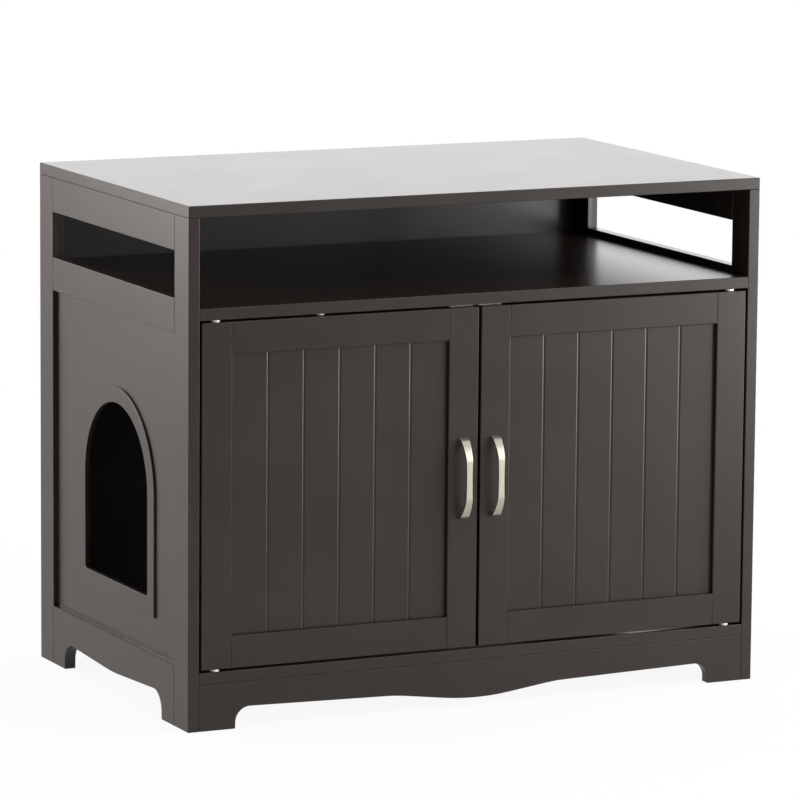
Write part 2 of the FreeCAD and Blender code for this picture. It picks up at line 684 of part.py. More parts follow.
def make_side_panel(side_name):
    """Make a thin side panel that stands in the frame's grooves, with the cat entrance cut in it."""
    body = new_body(f"{side_name}_side_panel")
    x_range = side_range(SIDES[side_name], PANEL_INNER_X, PANEL_OUTER_X)
    half_length = POST_Y + S.panel_reach
    low_z, high_z = SIDE_PANEL_Z
    corners = rectangle((-half_length, low_z), (half_length, high_z))
    pad(body, "YZ", *x_range, draw_outline, corners)
    cut(body, "YZ", *x_range, draw_arch, S.arch_radius, S.arch_sill, S.arch_corner)
    return body


def make_arch_trim(side_name):
    """Make the trim ring glued round a cat entrance: round above, square below."""
    body = new_body(f"{side_name}_arch_trim")
    x_range = side_range(SIDES[side_name], PANEL_OUTER_X, PANEL_OUTER_X + S.trim_thickness)
    outer_radius = S.arch_radius + S.trim_width
    outer_sill = S.arch_sill - S.trim_sill
    ring = pad(body, "YZ", *x_range, draw_arch, outer_radius, outer_sill)
    shown_x = x_range[0] if SIDES[side_name] < 0 else x_range[1]
    ease_face(body, ring, shown_x)
    cut(body, "YZ", *x_range, draw_arch, S.arch_radius, S.arch_sill, S.arch_corner)
    return body


def bore_level_board(body, underside, middle):
    """Bore a level board for the cam locks under its ends and the bolts that they draw in."""
    ends = (-S.floor_cam_offset, S.floor_cam_offset)
    cams = [(side * FLOOR_CAM_X, end) for side in SIDES.values() for end in ends]
    bore(body, "XY", underside, underside + S.cam_depth, S.cam_radius, cams, S.cam_sides)
    bolts = [(end, middle) for end in ends]
    for side in SIDES.values():
        reach = side_range(side, FLOOR_CAM_X + S.cam_radius - S.cam_overlap, INNER_X)
        bore(body, "YZ", *reach, S.cam_bolt_radius, bolts)


def bore_bushes(body, z_range):
    """Bore a level board for the stems of the doors' pivot bushes."""
    centres = [(side * PIVOT_X, DOOR_MID_Y) for side in (-1, 1)]
    bore(body, "XY", *z_range, S.bush_stem_radius, centres, S.cam_sides)


def make_shelf():
    """Make the shelf, the floor of the open space, which carries the doors' upper bushes."""
    z_range = (S.shelf_underside, SHELF_TOP_Z)
    body = make_board("shelf", (-INNER_X, INNER_X), (FRONT_Y, BACK_PANEL_Y), z_range)
    bore_level_board(body, S.shelf_underside, SHELF_MID_Z)
    bore_bushes(body, (S.shelf_underside, S.shelf_underside + S.bush_stem_length))
    screws = [(x, LOWER_EDGE_Z) for x in EDGE_SCREW_X]
    bore(body, "XZ", BACK_PANEL_Y - SCREW_BITE, BACK_PANEL_Y, S.small_screw_radius, screws)
    catch_screws = [(side * CATCH_SCREW_X, CATCH_SCREW_Y) for side in (-1, 1)]
    bite_z = (S.shelf_underside, S.shelf_underside + SCREW_BITE)
    bore(body, "XY", *bite_z, S.small_screw_radius, catch_screws)
    return body


def make_bottom_board():
    """Make the bottom board, which carries the litter box and the doors' lower bushes."""
    z_range = (S.floor_underside, FLOOR_TOP_Z)
    body = make_board("bottom_board", (-INNER_X, INNER_X), (FRONT_Y, BACK_PANEL_Y), z_range)
    bore_level_board(body, S.floor_underside, FLOOR_MID_Z)
    bore_bushes(body, (FLOOR_TOP_Z - S.bush_stem_length, FLOOR_TOP_Z))
    screws = [(x, FLOOR_MID_Z) for x in EDGE_SCREW_X]
    bore(body, "XZ", BACK_PANEL_Y - SCREW_BITE, BACK_PANEL_Y, S.small_screw_radius, screws)
    return body


def make_front_apron():
    """Make the apron under the bottom board, whose lower edge dips to a shallow point."""
    body = new_body("front_apron")
    corners = [
        (-INNER_X, 0),
        (-S.apron_foot_inner, 0),
        (-S.apron_foot_inner, S.apron_foot_rise, S.apron_foot_radius),
        (-S.apron_shoulder, S.apron_shoulder_height, S.apron_shoulder_radius),
        (0, S.apron_tip_height, S.apron_tip_radius),
        (S.apron_shoulder, S.apron_shoulder_height, S.apron_shoulder_radius),
        (S.apron_foot_inner, S.apron_foot_rise, S.apron_foot_radius),
        (S.apron_foot_inner, 0),
        (INNER_X, 0),
        (INNER_X, S.floor_underside),
        (-INNER_X, S.floor_underside),
    ]
    ease_edges(body, pad(body, "XZ", FRONT_Y, DOOR_BACK_Y, draw_outline, corners))
    for side in SIDES.values():
        tenon_x = side_range(side, INNER_X, INNER_X + S.tenon_length)
        add_box(body, tenon_x, MORTISE_Y, APRON_TENON_Z)
    return body


def make_back_panel(label, low_z, high_z, screws):
    """Make a thin back panel and open it for its screws, so that their heads lie flush."""
    half_width = INNER_X + S.back_lap
    sheet = DOCUMENT.addObject("Part::Box", f"{label}_blank")
    bind(sheet, "Length", half_width * 2)
    bind(sheet, "Width", S.thin_panel)
    bind(sheet, "Height", as_length(high_z) - low_z)
    bind(sheet, "Placement.Base.x", -half_width)
    bind(sheet, "Placement.Base.y", BACK_PANEL_Y + S.handle_projection / 2)
    bind(sheet, "Placement.Base.z", low_z)
    panel = DOCUMENT.addObject("Part::Cut", label)
    panel.Label = label
    panel.Base = sheet
    panel.Tool = screws
    return panel


# ---------------------------------------------------------------- doors


def make_stile(label, side, x_limits, opening_edge, outward):
    """Make a door's upright: grooved, bevelled and mortised along the edge at the opening."""
    x_range = side_range(side, *x_limits)
    body = make_board(label, x_range, (FRONT_Y, DOOR_BACK_Y), (DOOR_BOTTOM_Z, DOOR_TOP_Z))
    mouth = side * (opening_edge - outward * CLEAR)
    groove_x = sorted_pair(mouth, side * (opening_edge + outward * S.panel_reach))
    cut_box(body, groove_x, (DOOR_PANEL_Y, DOOR_PANEL_BACK_Y), DOOR_PANEL_Z)
    bevel = [
        (side * opening_edge, FRONT_Y),
        (side * (opening_edge + outward * S.door_bevel), FRONT_Y),
        (side * opening_edge, FRONT_Y + S.door_bevel),
    ]
    cut(body, "XY", OPENING_BOTTOM_Z, OPENING_TOP_Z, draw_outline, bevel)
    mortise_x = sorted_pair(mouth, side * (opening_edge + outward * S.tenon_length))
    for tenon_z in DOOR_TENONS_Z.values():
        cut_box(body, mortise_x, MORTISE_Y, tenon_z)
    return body


def make_hinge_stile(side_name):
    """Make a door's outer stile, bored at both ends for its pivot pins."""
    side = SIDES[side_name]
    limits = (OPENING_OUTER_X, DOOR_OUTER_X)
    body = make_stile(f"{side_name}_door_hinge_stile", side, limits, OPENING_OUTER_X, outward=1)
    pivot = [(side * PIVOT_X, DOOR_MID_Y)]
    bore_round(body, "XY", DOOR_BOTTOM_Z, DOOR_BOTTOM_Z + S.pin_in_door, S.pin_radius, pivot)
    bore_round(body, "XY", DOOR_TOP_Z - S.pin_in_door, DOOR_TOP_Z, S.pin_radius, pivot)
    return body


def make_meeting_stile(side_name):
    """Make a door's inner stile, bored for its handle and for the strike plate's screws."""
    side = SIDES[side_name]
    limits = (DOOR_INNER_X, OPENING_INNER_X)
    body = make_stile(f"{side_name}_door_meeting_stile", side, limits, OPENING_INNER_X, outward=-1)
    handle_screws = [(side * S.handle_offset, z) for z in HANDLE_SCREW_Z]
    bore(body, "XZ", FRONT_Y, DOOR_BACK_Y, S.screw_radius, handle_screws)
    plate_screws = [(x, MAGNET_Z) for x in strike_screw_spots(side)]
    bore(body, "XZ", DOOR_BACK_Y - SCREW_BITE, DOOR_BACK_Y, S.small_screw_radius, plate_screws)
    return body


def strike_screw_spots(side):
    """Return the X of both screws of a door's strike plate."""
    middle = S.magnet_offset
    return [side * (middle - STRIKE_SCREW_REACH), side * (middle + STRIKE_SCREW_REACH)]


def make_door_rail(side_name, upper):
    """Make a door's upper or lower rail: grooved and bevelled along the opening, with two tenons."""
    side = SIDES[side_name]
    z_range = (OPENING_TOP_Z, DOOR_TOP_Z) if upper else (DOOR_BOTTOM_Z, OPENING_BOTTOM_Z)
    label = f"{side_name}_door_{'top' if upper else 'bottom'}_rail"
    x_range = side_range(side, OPENING_INNER_X, OPENING_OUTER_X)
    body = make_board(label, x_range, (FRONT_Y, DOOR_BACK_Y), z_range)
    edge = OPENING_TOP_Z if upper else OPENING_BOTTOM_Z
    inward = 1 if upper else -1
    groove_z = sorted_pair(edge - inward * CLEAR, edge + inward * S.panel_reach)
    cut_box(body, x_range, (DOOR_PANEL_Y, DOOR_PANEL_BACK_Y), groove_z)
    bevel = [
        (FRONT_Y, edge),
        (FRONT_Y, edge + inward * S.door_bevel),
        (FRONT_Y + S.door_bevel, edge),
    ]
    cut(body, "YZ", *x_range, draw_outline, bevel)
    tenon_z = DOOR_TENONS_Z["top" if upper else "bottom"]
    inner_end = side_range(side, OPENING_INNER_X - S.tenon_length, OPENING_INNER_X)
    outer_end = side_range(side, OPENING_OUTER_X, OPENING_OUTER_X + S.tenon_length)
    add_box(body, inner_end, MORTISE_Y, tenon_z)
    add_box(body, outer_end, MORTISE_Y, tenon_z)
    return body


def make_door_panel(side_name):
    """Make a door's beadboard panel: a thin sheet with evenly spaced V grooves in its front."""
    side = SIDES[side_name]
    body = new_body(f"{side_name}_door_panel")
    x_range = side_range(side, OPENING_INNER_X - S.panel_reach, OPENING_OUTER_X + S.panel_reach)
    low_z, high_z = DOOR_PANEL_Z
    corners = rectangle((x_range[0], low_z), (x_range[1], high_z))
    pad(body, "XZ", DOOR_PANEL_Y, DOOR_PANEL_BACK_Y, draw_outline, corners)
    panel_middle = side * (OPENING_INNER_X + OPENING_OUTER_X) / 2
    first = panel_middle - S.groove_pitch * (S.groove_count - 1) / 2
    groove = [
        (first - S.groove_width / 2, DOOR_PANEL_Y),
        (first + S.groove_width / 2, DOOR_PANEL_Y),
        (first, DOOR_PANEL_Y + S.groove_depth),
    ]
    first_groove = cut(body, "XY", low_z, high_z, draw_outline, groove)
    grooves = body.newObject("PartDesign::LinearPattern", "Grooves")
    grooves.Originals = [first_groove]
    x_axis = next(item for item in body.Origin.OriginFeatures if item.Role == "X_Axis")
    grooves.Direction = (x_axis, [""])
    bind(grooves, "Length", S.groove_pitch * (S.groove_count - 1))
    bind(grooves, "Occurrences", S.groove_count)
    body.Tip = grooves
    return body


def handle_outline(ends, bends):
    """Return a closed side view of a handle from the bends between each end and its middle."""
    low_end, high_end = ends
    lower = [(out, low_end + along, *radius) for along, out, *radius in bends]
    upper = [(out, high_end - along, *radius) for along, out, *radius in reversed(bends)]
    return [(FRONT_Y - out, z, *radius) for out, z, *radius in lower + upper]


def make_handle(side_name):
    """Make a bow handle: two solid feet, sloping legs and a straight middle, narrow at its waist."""
    side = SIDES[side_name]
    body = new_body(f"{side_name}_handle")
    ends = (S.handle_height - S.handle_length / 2, S.handle_height + S.handle_length / 2)
    middle_x = side * S.handle_offset
    x_range = (middle_x - S.handle_end_width / 2, middle_x + S.handle_end_width / 2)
    outer_bends = [
        (0, 0),
        (S.knee_along, S.knee_out, S.knee_radius),
        (S.elbow_along, S.elbow_out, S.elbow_radius),
        (S.shoulder_along, S.handle_projection, S.shoulder_radius),
    ]
    bow = pad(body, "YZ", *x_range, draw_outline, handle_outline(ends, outer_bends))
    bevel_front(body, bow)
    grip_out = S.handle_projection - S.strap_thickness
    finger_bends = [
        (S.handle_foot, -CLEAR),
        (S.handle_foot, S.grip_knee_out, S.strap_thickness),
        (S.grip_elbow_along, S.grip_elbow_out, S.elbow_radius - S.strap_thickness),
        (S.grip_shoulder_along, grip_out, S.shoulder_radius - S.strap_thickness),
    ]
    cut(body, "YZ", *x_range, draw_outline, handle_outline(ends, finger_bends))
    for flank in (-1, 1):
        cut_waist(body, middle_x, flank, ends)
    screws = [(middle_x, z) for z in HANDLE_SCREW_Z]
    bore(body, "XZ", FRONT_Y - S.screw_bite, FRONT_Y, S.screw_radius, screws)
    return body


def bevel_front(body, bow):
    """Bevel the edges between the handle's front and its two flanks."""
    DOCUMENT.recompute()
    flank_edges = []
    for index, edge in enumerate(bow.Shape.Edges, start=1):
        box = edge.BoundBox
        in_flank = box.XLength < FLAT
        on_door = abs(box.YMin - FRONT_Y.number) < FLAT and box.YLength < FLAT
        if in_flank and not on_door:
            flank_edges.append(f"Edge{index}")
    feature = body.newObject("PartDesign::Chamfer", "Bevel")
    feature.Base = (bow, flank_edges)
    bind(feature, "Size", S.handle_bevel)
    return feature


def cut_waist(body, middle_x, flank, ends):
    """Cut one flank of the handle in a long shallow arc, so that its middle is narrow."""
    half_end = S.handle_end_width / 2
    dip = number(half_end - S.handle_waist_width / 2)
    half_length = number(S.handle_length) / 2
    radius = (half_length**2 + dip**2) / (2 * dip)
    sketch = new_sketch(body, "XZ", FRONT_Y - S.handle_projection - CLEAR)
    edge_x = middle_x + flank * half_end
    centre = VECTOR(number(edge_x) + flank * (radius - dip), number(S.handle_height), 0)
    sweep = math.asin(half_length / radius)
    facing = math.pi if flank > 0 else 0
    circle = Part.Circle(centre, VECTOR(0, 0, 1), radius)
    arc = sketch.addGeometry(Part.ArcOfCircle(circle, facing - sweep, facing + sweep), False)
    high_point = VECTOR(number(edge_x), number(ends[1]), 0)
    low_point = VECTOR(number(edge_x), number(ends[0]), 0)
    start, stop = (high_point, low_point) if flank > 0 else (low_point, high_point)
    chord = sketch.addGeometry(Part.LineSegment(stop, start), False)
    constrain(sketch, "Coincident", arc, END_POINT, chord, START_POINT)
    constrain(sketch, "Coincident", chord, END_POINT, arc, START_POINT)
    first, last = (ends[1], ends[0]) if flank > 0 else (ends[0], ends[1])
    fix_point(sketch, arc, START_POINT, edge_x, first)
    fix_point(sketch, arc, END_POINT, edge_x, last)
    sketch.addConstraint(Sketcher.Constraint("Radius", arc, radius))
    feature = body.newObject("PartDesign::Pocket", "Waist")
    feature.Profile = sketch
    bind(feature, "Length", S.handle_projection + CLEAR)
    return feature


def make_strike_plate(side_name):
    """Make the steel plate on a door's back that the magnet holds."""
    side = SIDES[side_name]
    body = new_body(f"{side_name}_strike_plate")
    half_width = S.strike_half_width
    half_height = S.strike_height / 2
    x_range = side_range(side, S.magnet_offset - half_width, S.magnet_offset + half_width)
    corners = rectangle((x_range[0], MAGNET_Z - half_height), (x_range[1], MAGNET_Z + half_height))
    back_y = DOOR_BACK_Y + S.strike_thickness
    pad(body, "XZ", DOOR_BACK_Y, back_y, draw_outline, corners)
    screws = [(x, MAGNET_Z) for x in strike_screw_spots(side)]
    bore(body, "XZ", DOOR_BACK_Y, back_y, S.small_screw_radius, screws)
    return body


# ---------------------------------------------------------------- catch, bushes and buffer


def make_catch_housing():
    """Make the double catch's housing, screwed under the shelf, with a socket for each magnet."""
    body = new_body("magnetic_catch_housing")
    z_range = (S.shelf_underside - S.catch_height, S.shelf_underside)
    y_range = (CATCH_FRONT_Y, CATCH_FRONT_Y + S.catch_depth)
    corners = rectangle((-S.catch_half_width, y_range[0]), (S.catch_half_width, y_range[1]))
    ease_edges(body, pad(body, "XY", *z_range, draw_outline, corners))
    for side in SIDES.values():
        socket_z = (MAGNET_Z - S.magnet_height / 2, MAGNET_Z + S.magnet_height / 2)
        cut_box(body, magnet_range(side), (CATCH_FRONT_Y - CLEAR, MAGNET_BACK_Y), socket_z)
    screws = [(side * CATCH_SCREW_X, CATCH_SCREW_Y) for side in (-1, 1)]
    bore(body, "XY", *z_range, S.small_screw_radius, screws)
    return body


def magnet_range(side):
    """Return the X limits of one magnet."""
    half_width = S.magnet_half_width
    return side_range(side, S.magnet_offset - half_width, S.magnet_offset + half_width)


def make_magnets():
    """Make the catch's two magnets, one for each door."""
    size = (S.magnet_half_width * 2, S.magnet_depth, S.magnet_height)
    magnet = Part.makeBox(*[number(value) for value in size])
    low_z = MAGNET_Z - S.magnet_height / 2
    placements = []
    for side in SIDES.values():
        placements.append(placed(magnet_range(side)[0], CATCH_FRONT_Y, low_z, UPRIGHT))
    return make_group("catch_magnets", magnet, placements)


def make_door_buffer():
    """Make the small buffer under the shelf's front edge, above the left door."""
    body = new_body("door_buffer")
    z_range = (S.shelf_underside - S.buffer_height, S.shelf_underside)
    centre = [(-S.buffer_offset, DOOR_MID_Y)]
    disc = pad(body, "XY", *z_range, draw_polygons, centre, S.buffer_radius, S.head_sides)
    ease_edges(body, disc)
    return body


# ---------------------------------------------------------------- groups of equal fasteners

UPRIGHT = FreeCAD.Rotation()
HEAD_DOWN = FreeCAD.Rotation(VECTOR(1, 0, 0), 180)
HEAD_BACK = FreeCAD.Rotation(VECTOR(1, 0, 0), -90)


def placed(x, y, z, rotation):
    """Return the placement of one fastener, from lengths or numbers."""
    return FreeCAD.Placement(VECTOR(number(x), number(y), number(z)), rotation)


def make_group(label, pattern, placements):
    """Group copies of one fastener, each a solid of its own."""
    solids = []
    for placement in placements:
        solid = pattern.copy()
        solid.Placement = placement
        solids.append(solid)
    group = DOCUMENT.addObject("Part::Feature", label)
    group.Label = label
    group.Shape = Part.makeCompound(solids)
    group.Placement.Base = VECTOR(0, number(S.handle_projection) / 2, 0)
    return group


def ring_wire(radius, height, sides):
    """Return a level regular polygon round the Z axis."""
    corners = [spot + VECTOR(0, 0, number(height)) for spot in polygon_points(radius, sides)]
    return Part.makePolygon(corners + corners[:1])


def make_prism(radius, low_z, high_z, sides=S.fastener_sides):
    """Return a flat sided shank that stands on the Z axis."""
    face = Part.Face(ring_wire(radius, low_z, sides))
    return face.extrude(VECTOR(0, 0, number(as_length(high_z) - low_z)))


def make_taper(low_radius, high_radius, low_z, high_z, sides):
    """Return a flat sided tapered head that stands on the Z axis."""
    rings = [ring_wire(low_radius, low_z, sides), ring_wire(high_radius, high_z, sides)]
    return Part.makeLoft(rings, True, True)


def countersunk_screw():
    """Return a small wood screw, its flat head level with z = 0 and its shank below."""
    head_height = S.small_head_radius - S.small_screw_radius
    head = make_taper(S.small_screw_radius, S.small_head_radius, -head_height, 0, S.fastener_sides)
    shank = make_prism(S.small_screw_radius, -S.small_screw_length, -head_height)
    return head.fuse(shank).removeSplitter()


def pan_screw(head_radius, head_height, shank_radius, shank_length):
    """Return a pan head screw, the underside of its head at z = 0 and its shank below."""
    rim_height = head_height * S.head_rim_share
    top_radius = head_radius * S.head_crown_share
    rim = make_prism(head_radius, 0, rim_height, S.head_sides)
    crown = make_taper(head_radius, top_radius, rim_height, head_height, S.head_sides)
    shank = make_prism(shank_radius, -as_length(shank_length), 0)
    return rim.fuse([crown, shank]).removeSplitter()


def make_bush_shape():
    """Return a pivot bush, its collar below z = 0 and its stem above, bored for the pin."""
    stem = make_prism(S.bush_stem_radius, 0, S.bush_stem_length, S.cam_sides)
    collar = make_prism(S.bush_flange_radius, -S.door_gap, 0, S.head_sides)
    hole_radius = number(S.pin_radius + S.pin_clearance)
    hole_length = number(S.door_gap + S.bush_stem_length - S.bush_floor)
    hole = Part.makeCylinder(hole_radius, hole_length, VECTOR(0, 0, -number(S.door_gap)))
    return stem.fuse(collar).cut(hole).removeSplitter()


def make_bushes(side_name):
    """Make a door's two bushes: one in the shelf above it, one in the bottom board below it."""
    pivot_x = SIDES[side_name] * PIVOT_X
    upper = placed(pivot_x, DOOR_MID_Y, S.shelf_underside, UPRIGHT)
    lower = placed(pivot_x, DOOR_MID_Y, FLOOR_TOP_Z, HEAD_DOWN)
    return make_group(f"{side_name}_pivot_bushes", make_bush_shape(), [upper, lower])


def make_pivot_pins(side_name):
    """Make a door's two steel pins, pressed into its hinge stile and running in the bushes."""
    length = number(S.pin_in_door + S.door_gap + S.bush_stem_length - S.pin_end_gap)
    pin = Part.makeCylinder(number(S.pin_radius), length, VECTOR(0, 0, -number(S.pin_in_door)))
    pivot_x = SIDES[side_name] * PIVOT_X
    upper = placed(pivot_x, DOOR_MID_Y, DOOR_TOP_Z, UPRIGHT)
    lower = placed(pivot_x, DOOR_MID_Y, DOOR_BOTTOM_Z, HEAD_DOWN)
    return make_group(f"{side_name}_pivot_pins", pin, [upper, lower])


def make_back_screws():
    """Make the flat head screws of both back panels, level with the panels' rear face."""
    spots = [(x, z) for x in EDGE_SCREW_X for z in (FLOOR_MID_Z, LOWER_EDGE_Z)]
    for side in SIDES.values():
        spots += [(side * BACK_SCREW_X, z) for z in SIDE_SCREW_Z]
    placements = [placed(x, BACK_Y, z, HEAD_BACK) for x, z in spots]
    return make_group("back_panel_screws", countersunk_screw(), placements)


def make_handle_screws(side_name):
    """Make the two screws that hold a handle from behind the door."""
    head = (S.screw_head_radius, S.screw_head_height)
    screw = pan_screw(*head, S.screw_radius, S.board + S.screw_bite)
    x = SIDES[side_name] * S.handle_offset
    placements = [placed(x, DOOR_BACK_Y, z, HEAD_BACK) for z in HANDLE_SCREW_Z]
    return make_group(f"{side_name}_handle_screws", screw, placements)


def make_strike_screws(side_name):
    """Make the two screws of a strike plate, sunk level with the plate."""
    screw = make_prism(S.small_screw_radius, -(SCREW_BITE + S.strike_thickness), 0)
    back_y = DOOR_BACK_Y + S.strike_thickness
    spots = strike_screw_spots(SIDES[side_name])
    placements = [placed(x, back_y, MAGNET_Z, HEAD_BACK) for x in spots]
    return make_group(f"{side_name}_strike_screws", screw, placements)


def make_catch_screws():
    """Make the two screws that hold the catch's housing under the shelf."""
    head = (S.small_head_radius, S.catch_head_height)
    screw = pan_screw(*head, S.small_screw_radius, S.catch_height + SCREW_BITE)
    low_z = S.shelf_underside - S.catch_height
    placements = []
    for side in SIDES.values():
        placements.append(placed(side * CATCH_SCREW_X, CATCH_SCREW_Y, low_z, HEAD_DOWN))
    return make_group("catch_screws", screw, placements)


def cam_shape():
    """Return a cam lock, its face level with z = 0: a disc with a slot for a screwdriver."""
    cam = make_prism(S.cam_radius, -S.cam_depth, 0, S.cam_sides)
    length = number(S.cam_slot_length)
    width = number(S.cam_slot_width)
    depth = number(S.cam_slot_depth)
    slot = Part.makeBox(length, width, depth, VECTOR(-length / 2, -width / 2, -depth))
    return cam.cut(slot)


def make_cams():
    """Make the cam locks: four hold the top board, four the shelf and four the bottom board."""
    placements = []
    for side in SIDES.values():
        face_in = FreeCAD.Rotation(VECTOR(0, 0, 1), VECTOR(-side, 0, 0))
        for end in (-1, 1):
            rail_cam = placed(side * INNER_X, end * S.top_cam_offset, TOP_CAM_Z, face_in)
            placements.append(rail_cam)
            for underside in (S.shelf_underside, S.floor_underside):
                spot = (side * FLOOR_CAM_X, end * S.floor_cam_offset, underside)
                placements.append(placed(*spot, HEAD_DOWN))
    return make_group("cam_locks", cam_shape(), placements)


def make_cam_bolts():
    """Make the bolts that the cam locks draw tight, each from its cam's rim into the next board."""
    inner_end = S.cam_reach - S.cam_radius
    bolt = make_prism(S.cam_bolt_radius, -inner_end, S.cam_bolt_bite)
    placements = []
    for side in SIDES.values():
        outward = FreeCAD.Rotation(VECTOR(0, 0, 1), VECTOR(side, 0, 0))
        for end in (-1, 1):
            top_bolt = placed(side * MID_BOARD_X, end * S.top_cam_offset, TOP_Z, UPRIGHT)
            placements.append(top_bolt)
            for middle in (SHELF_MID_Z, FLOOR_MID_Z):
                spot = (side * INNER_X, end * S.floor_cam_offset, middle)
                placements.append(placed(*spot, outward))
    return make_group("cam_bolts", bolt, placements)


# ---------------------------------------------------------------- the whole cabinet


def make_side(side_name):
    """Make one side of the cabinet: a frame, a thin panel with the cat entrance, and its trim."""
    return [
        make_post(side_name, front=True),
        make_post(side_name, front=False),
        make_top_rail(side_name),
        make_middle_rail(side_name),
        make_bottom_rail(side_name),
        make_side_panel(side_name),
        make_arch_trim(side_name),
        make_bushes(side_name),
    ]


def make_door(side_name):
    """Make one door: a frame, its beadboard panel, and everything that turns with it."""
    return [
        make_hinge_stile(side_name),
        make_meeting_stile(side_name),
        make_door_rail(side_name, upper=True),
        make_door_rail(side_name, upper=False),
        make_door_panel(side_name),
        make_handle(side_name),
        make_handle_screws(side_name),
        make_strike_plate(side_name),
        make_strike_screws(side_name),
        make_pivot_pins(side_name),
    ]


def make_cabinet():
    """Make every sub-part and return them all."""
    parts = [make_top_board(), make_shelf(), make_bottom_board(), make_front_apron()]
    screws = make_back_screws()
    parts.append(screws)
    upper_edge = TOP_Z + S.back_lap
    parts.append(make_back_panel("lower_back_panel", S.floor_underside, SHELF_MID_Z, screws))
    parts.append(make_back_panel("upper_back_panel", SHELF_MID_Z, upper_edge, screws))
    for side_name in SIDES:
        parts += make_side(side_name)
        parts += make_door(side_name)
    parts += [make_catch_housing(), make_magnets(), make_catch_screws(), make_door_buffer()]
    parts += [make_cams(), make_cam_bolts()]
    return parts


def owner_label(item):
    """Return the label of the body that an object belongs to."""
    body = item.getParentGeoFeatureGroup()
    return body.Label if body else item.Label


def check_document(parts):
    """Stop if any object failed, any cut removed nothing, or any sub-part is not a valid solid."""
    faults = []
    for item in DOCUMENT.Objects:
        if "Invalid" in item.State or "Error" in item.State:
            faults.append(f"{item.Name} in {owner_label(item)} failed: {item.State}")
        elif hasattr(item, "Shape") and item.Shape.isNull():
            faults.append(f"{item.Name} in {owner_label(item)} is empty")
        elif item.TypeId == "PartDesign::Pocket":
            if item.BaseFeature.Shape.Volume - item.Shape.Volume < LEAST_CUT:
                faults.append(f"{item.Name} in {owner_label(item)} cuts nothing")
    for part in parts:
        if part.Shape.isNull() or not part.Shape.isValid() or not part.Shape.Solids:
            faults.append(f"{part.Label} is not a valid solid")
    if faults:
        raise RuntimeError("\n".join(faults))


def main():
    """Build the cabinet, check it, and write each sub-part to its own file."""
    parts = make_cabinet()
    DOCUMENT.recompute()
    check_document(parts)
    os.makedirs("parts", exist_ok=True)
    for part in parts:
        part.Shape.exportStep(f"parts/{part.Label}.step")
    print(f"wrote {len(parts)} sub-parts")


main()
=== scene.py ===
"""Looks of a cat litter box cabinet with two hinged doors and an open shelf.

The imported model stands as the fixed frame. Most lacquered boards are their own solids with the
bevels rounded over; side panels, side bottom rails, back panels and the catch keep their solids.
Handles, entrance trims, pivots, cam locks and screws are made here in more detail. All sizes are
in metres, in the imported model's frame.
"""

import logging
import math
from dataclasses import dataclass
from enum import Enum
from typing import Callable, Iterable, Optional, Union

import bmesh
import bpy
from mathutils import Matrix, Vector


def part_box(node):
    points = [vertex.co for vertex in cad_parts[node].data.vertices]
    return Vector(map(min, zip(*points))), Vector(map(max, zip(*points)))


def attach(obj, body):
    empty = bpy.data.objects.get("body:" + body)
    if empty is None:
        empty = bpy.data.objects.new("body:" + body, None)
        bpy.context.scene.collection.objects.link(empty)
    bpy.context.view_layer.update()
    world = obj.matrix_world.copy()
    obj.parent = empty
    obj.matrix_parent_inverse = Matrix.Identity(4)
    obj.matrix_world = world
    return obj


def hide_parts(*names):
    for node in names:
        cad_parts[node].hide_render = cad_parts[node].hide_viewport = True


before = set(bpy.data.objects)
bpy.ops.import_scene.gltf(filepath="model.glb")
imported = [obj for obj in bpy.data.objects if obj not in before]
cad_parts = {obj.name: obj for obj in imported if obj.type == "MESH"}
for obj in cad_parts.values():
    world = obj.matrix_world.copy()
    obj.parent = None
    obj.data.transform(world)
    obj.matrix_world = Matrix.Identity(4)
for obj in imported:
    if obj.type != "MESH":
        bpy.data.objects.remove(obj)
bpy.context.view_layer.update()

LOG = logging.getLogger("litter_cabinet")
Colour = tuple[float, float, float]
Point = tuple[float, float, float]
MM = 0.001
TOUCH = 1e-6
NEAR = 1e-5


class Side(Enum):
    """The two sides of the cabinet, with the sign of X on each."""

    LEFT = -1
    RIGHT = 1

    @property
    def word(self) -> str:
        """The word that starts this side's piece names."""
        return self.name.lower()


class Body(Enum):
    """The bodies that a piece can ride on."""

    CABINET = "cabinet"
    LEFT_DOOR = "left_door"
    RIGHT_DOOR = "right_door"

    @classmethod
    def door(cls, side: Side) -> "Body":
        """The door on one side."""
        return cls.LEFT_DOOR if side is Side.LEFT else cls.RIGHT_DOOR


class Facing(Enum):
    """Ways for the head of a fastener to face, as turns of the +Z axis."""

    UP = (0.0, 0.0, 1.0)
    DOWN = (0.0, 0.0, -1.0)
    BACK = (0.0, 1.0, 0.0)
    LEFT = (-1.0, 0.0, 0.0)
    RIGHT = (1.0, 0.0, 0.0)

    def matrix(self, spot: Point) -> Matrix:
        """The transform that takes a fastener drawn on +Z to its spot.

        Args:
            spot: Where the fastener's seat goes.

        Returns:
            A transform without scale.
        """
        turn = Vector((0.0, 0.0, 1.0)).rotation_difference(Vector(self.value))
        return Matrix.Translation(spot) @ turn.to_matrix().to_4x4()


# ---------------------------------------------------------------- shader maths


